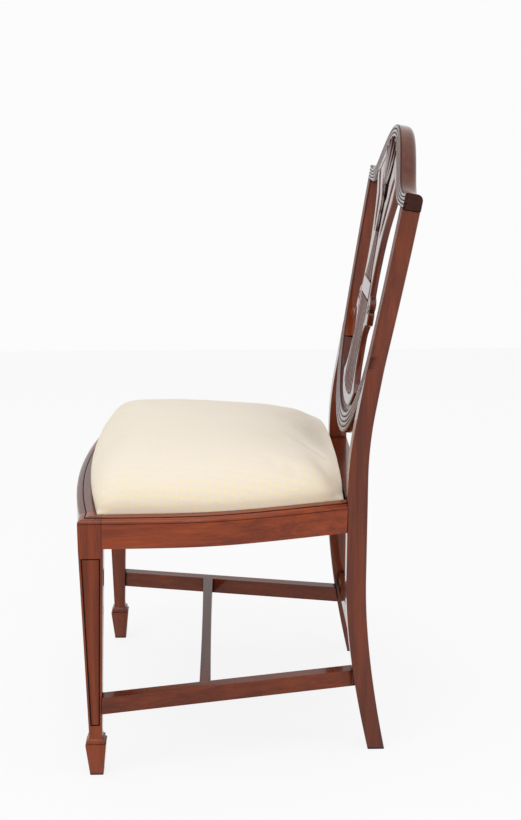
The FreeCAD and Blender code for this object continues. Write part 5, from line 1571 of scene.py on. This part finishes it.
def lay_cloth_lines(piece):
    """Keeps on each point how far along and across the cloth it lies, measured over the cushion's skin."""
    mesh = piece.data
    places = point_places(mesh)
    surface = BVHTree.FromPolygons([tuple(p) for p in places], [tuple(p.vertices) for p in mesh.polygons])
    middle_y = float((places[:, 1].min() + places[:, 1].max()) / 2)
    heights = np.full((2 * CLOTH_REACH + 1, 2 * CLOTH_REACH + 1), np.nan)
    for column, row in np.ndindex(heights.shape):
        x, y = (column - CLOTH_REACH) * CLOTH_CELL, middle_y + (row - CLOTH_REACH) * CLOTH_CELL
        hit = surface.ray_cast(Vector((x, y, 1.0)), Vector((0, 0, -1)))
        if hit[0] is not None:
            heights[column, row] = hit[0].z
    heights = np.where(np.isnan(heights), np.nanmin(heights), heights)
    across = run_lengths(heights)
    along = run_lengths(heights.T).T
    cloth = np.zeros((len(places), 3))
    for number, (x, y, z) in enumerate(places):
        y -= middle_y
        x_left = x - table_cell(x) * CLOTH_CELL
        y_left = y - table_cell(y) * CLOTH_CELL
        column, row = table_cell(x) + CLOTH_REACH, table_cell(y) + CLOTH_REACH
        drop = abs(z - heights[column, row])
        slope_x = slope_at(heights, column, row)
        slope_y = slope_at(heights.T, row, column)
        total = slope_x + slope_y + 1e-6
        x_run = math.hypot(x_left, drop * slope_x / total)
        y_run = math.hypot(y_left, drop * slope_y / total)
        cloth[number, 0] = across[column, row] + math.copysign(x_run, x)
        cloth[number, 1] = along[column, row] + math.copysign(y_run, y)
    attribute = mesh.attributes.new("cloth", "FLOAT_VECTOR", "POINT")
    attribute.data.foreach_set("vector", cloth.astype(np.float32).ravel())


PULL_LINE = (
    (168, 392, 424), (163, 383, 440), (155, 374, 455), (145, 367, 468), (132, 361, 478), (116, 353, 488),
)
PULL_DEPTH = 0.0042
PULL_REACH = 0.014


def pull_corners(piece):
    """Draws the cloth in along a soft hollow that runs up from each rear corner."""
    line = [on_seat(*place) for place in PULL_LINE]
    piece.data.update()
    for vertex in piece.data.vertices:
        place = Vector((abs(vertex.co.x), vertex.co.y, vertex.co.z))
        nearest = 1.0
        along = 0.0
        for number, (start, end) in enumerate(zip(line, line[1:])):
            step = end - start
            share = min(1.0, max(0.0, (place - start).dot(step) / step.length_squared))
            away = (place - start - step * share).length
            if away < nearest:
                nearest = away
                along = (number + share) / (len(line) - 1)
        strength = math.exp(-(nearest / PULL_REACH) ** 2) * math.sin(math.pi * (0.12 + 0.84 * along)) ** 0.7
        vertex.co -= vertex.normal * PULL_DEPTH * strength


def square_skirt(piece):
    """Draws the skin out to the corners of the loose frame, which the even mesh cuts a little."""
    outline = seat_ring(SKIRT_INSET) - (0, SEAT_CENTRE)
    turns = np.arctan2(outline[:, 1], outline[:, 0])
    reaches = np.hypot(outline[:, 0], outline[:, 1])
    for vertex in piece.data.vertices:
        x, y, z = off_seat(vertex.co)
        y -= SEAT_CENTRE
        up = z - SEAT_HEIGHT
        reach = float(np.interp(math.atan2(y, x), turns, reaches, period=2 * math.pi))
        share = math.hypot(x, y) / reach
        if up < SKIRT_FADE and share > SKIRT_FROM:
            stretch = 1 + (1 / share - 1) * min(1.0, 1 - up / SKIRT_FADE)
            vertex.co = on_seat(x * stretch, SEAT_CENTRE + y * stretch, z)


def seat_cushion():
    """The stuffed seat under its checked cloth."""
    piece = skinned_piece("seat_cushion", cushion_rings(), check_cloth)
    remesh = piece.modifiers.new("remesh", "REMESH")
    remesh.mode = "VOXEL"
    remesh.voxel_size = CUSHION_VOXEL
    apply_modifiers(piece)
    held_height = (SEAT_HEIGHT + 4) * MM
    puff(piece, held_height)
    for vertex in piece.data.vertices:
        if vertex.co.z > held_height:
            sway = noise.noise(vertex.co * 14) * 0.0009 + noise.noise(vertex.co * 33) * 0.0003
            vertex.co.z += sway * min(1.0, (vertex.co.z - held_height) / 0.02)
    pull_corners(piece)
    smoother = piece.modifiers.new("smooth", "SMOOTH")
    smoother.iterations = 3
    subdivision = piece.modifiers.new("finer", "SUBSURF")
    subdivision.levels = 1
    subdivision.render_levels = 1
    apply_modifiers(piece)
    square_skirt(piece)
    piece.data.materials.clear()
    piece.data.materials.append(check_cloth)
    piece.data.polygons.foreach_set("use_smooth", [True] * len(piece.data.polygons))
    lay_cloth_lines(piece)
    return piece


DUST_INSET = 37.8
DUST_LEVELS = (COVER_LOW - 0.1, COVER_LOW - 0.7)
DUST_SAG = 3.2
DUST_STEPS = 22
DUST_POINTS = 120


def dust_sheet():
    """The thin black cloth tacked under the seat, sagging a little in its middle."""
    outline = seat_ring(DUST_INSET, count=DUST_POINTS)
    centre = np.array((0, SEAT_CENTRE))
    vertices = []
    for level in DUST_LEVELS:
        for share in np.arange(1, DUST_STEPS + 1) / DUST_STEPS:
            sag = DUST_SAG * (1 - share ** 2) ** 1.5
            vertices += [on_seat(*(centre + (point - centre) * share), level - sag) for point in outline]
    layer = DUST_STEPS * DUST_POINTS
    around = [(number, (number + 1) % DUST_POINTS) for number in range(DUST_POINTS)]
    faces = []
    for base in (0, layer):
        for low in range(base, base + layer - DUST_POINTS, DUST_POINTS):
            high = low + DUST_POINTS
            faces += [(low + number, low + after, high + after, high + number) for number, after in around]
        faces.append(tuple(range(base, base + DUST_POINTS)))
    rim = layer - DUST_POINTS
    for number, after in around:
        faces.append((rim + number, rim + after, rim + after + layer, rim + number + layer))
    return finished_piece("dust_cloth_sheet", vertices, faces, dust_cloth)


# Putting the chair together

set_camera()

# The tones are painted light and shade on copies of one mahogany: the near side rails get a lighter copy, the
# parts further in shade darker ones.
post_wood = polished_wood("mahogany_post", ALONG_Z, 3.1, tone=0.66, coat=0.6, hollows=True)
leg_wood = polished_wood("mahogany_leg", ALONG_Z, 6.2, tone=0.9, hollows=True)
cross_wood = polished_wood("mahogany_cross", ALONG_X, 1.7, tone=0.56)
side_wood = polished_wood("mahogany_side", ALONG_Y, 5.3, tone=1.1)
stretcher_wood = polished_wood("mahogany_stretcher", ALONG_Y, 2.6, tone=0.66)
shield_wood = polished_wood("mahogany_shield_rails", ALONG_X, 7.9, tone=0.4, coat=0.6, hollows=True)
splat_wood = polished_wood("mahogany_splat", ALONG_Z, 9.4, tone=0.5, coat=0.7, hollows=True)
check_cloth = checked_cloth("check_cloth")
canvas = plain_cloth("base_canvas", linear(120, 102, 74), linear(168, 150, 118), 0.0012)
dust_cloth = plain_cloth("black_dust_cloth", linear(16, 16, 17), linear(44, 43, 44), 0.0008)
stuffing = plain_cloth("cotton_stuffing", linear(196, 188, 170), linear(226, 220, 206), 0.003)
jute = plain_cloth("jute_webbing", linear(122, 96, 58), linear(176, 146, 98), 0.0022)
beech_side = bare_wood("beech_side", ALONG_Y)
beech_cross = bare_wood("beech_cross", ALONG_X)
tack_steel = dull_steel("tack_steel", linear(46, 48, 54), linear(104, 106, 112))
screw_steel = dull_steel("screw_steel", linear(128, 126, 120), linear(176, 174, 168))

NODE_FINISHES = {
    "front_leg": leg_wood,
    "rear_post": post_wood,
    "front_seat_rail": cross_wood,
    "side_seat_rail": side_wood,
    "rear_seat_rail": cross_wood,
    "side_stretcher": stretcher_wood,
    "cross_stretcher": cross_wood,
    "rear_stretcher": cross_wood,
    "crest_rail": shield_wood,
    "shield_lower_rail": shield_wood,
    "splat": splat_wood,
    "corner_block_screws": screw_steel,
    "corner_block": beech_cross,
    "seat_frame_left": beech_side,
    "seat_frame_right": beech_side,
    "seat_frame": beech_cross,
    "webbing_tacks": tack_steel,
    "cover_tacks": tack_steel,
    "webbing": jute,
    "base_cloth": canvas,
    "stuffing_pad": stuffing,
    "seat_cover": check_cloth,
    "dust_cover": dust_cloth,
}

for node_name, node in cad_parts.items():
    finish_name = next(name for name in NODE_FINISHES if node_name.startswith(name))
    node.data.materials.clear()
    node.data.materials.append(NODE_FINISHES[finish_name])

wooden = [
    (crest_rail(), ("crest_rail",)),
    (lower_rail(), ("shield_lower_rail",)),
    (rear_post(1, "right"), ("rear_post_right",)),
    (rear_post(-1, "left"), ("rear_post_left",)),
    (splat_board(), ("splat",)),
    (wheat_ear(), ()),
    (splat_reeds(), ()),
    (front_leg(1, "right"), ("front_leg_right",)),
    (front_leg(-1, "left"), ("front_leg_left",)),
    (side_rail(1, "right"), ("side_seat_rail_right",)),
    (side_rail(-1, "left"), ("side_seat_rail_left",)),
    (front_rail(), ("front_seat_rail",)),
]
for piece, nodes in wooden:
    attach(piece, "frame")
    if nodes:
        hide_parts(*nodes)

cushion = seat_cushion()
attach(cushion, "seat")
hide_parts("seat_cover", "stuffing_pad")

dust = dust_sheet()
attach(dust, "seat")
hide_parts("dust_cover")

set_stage()
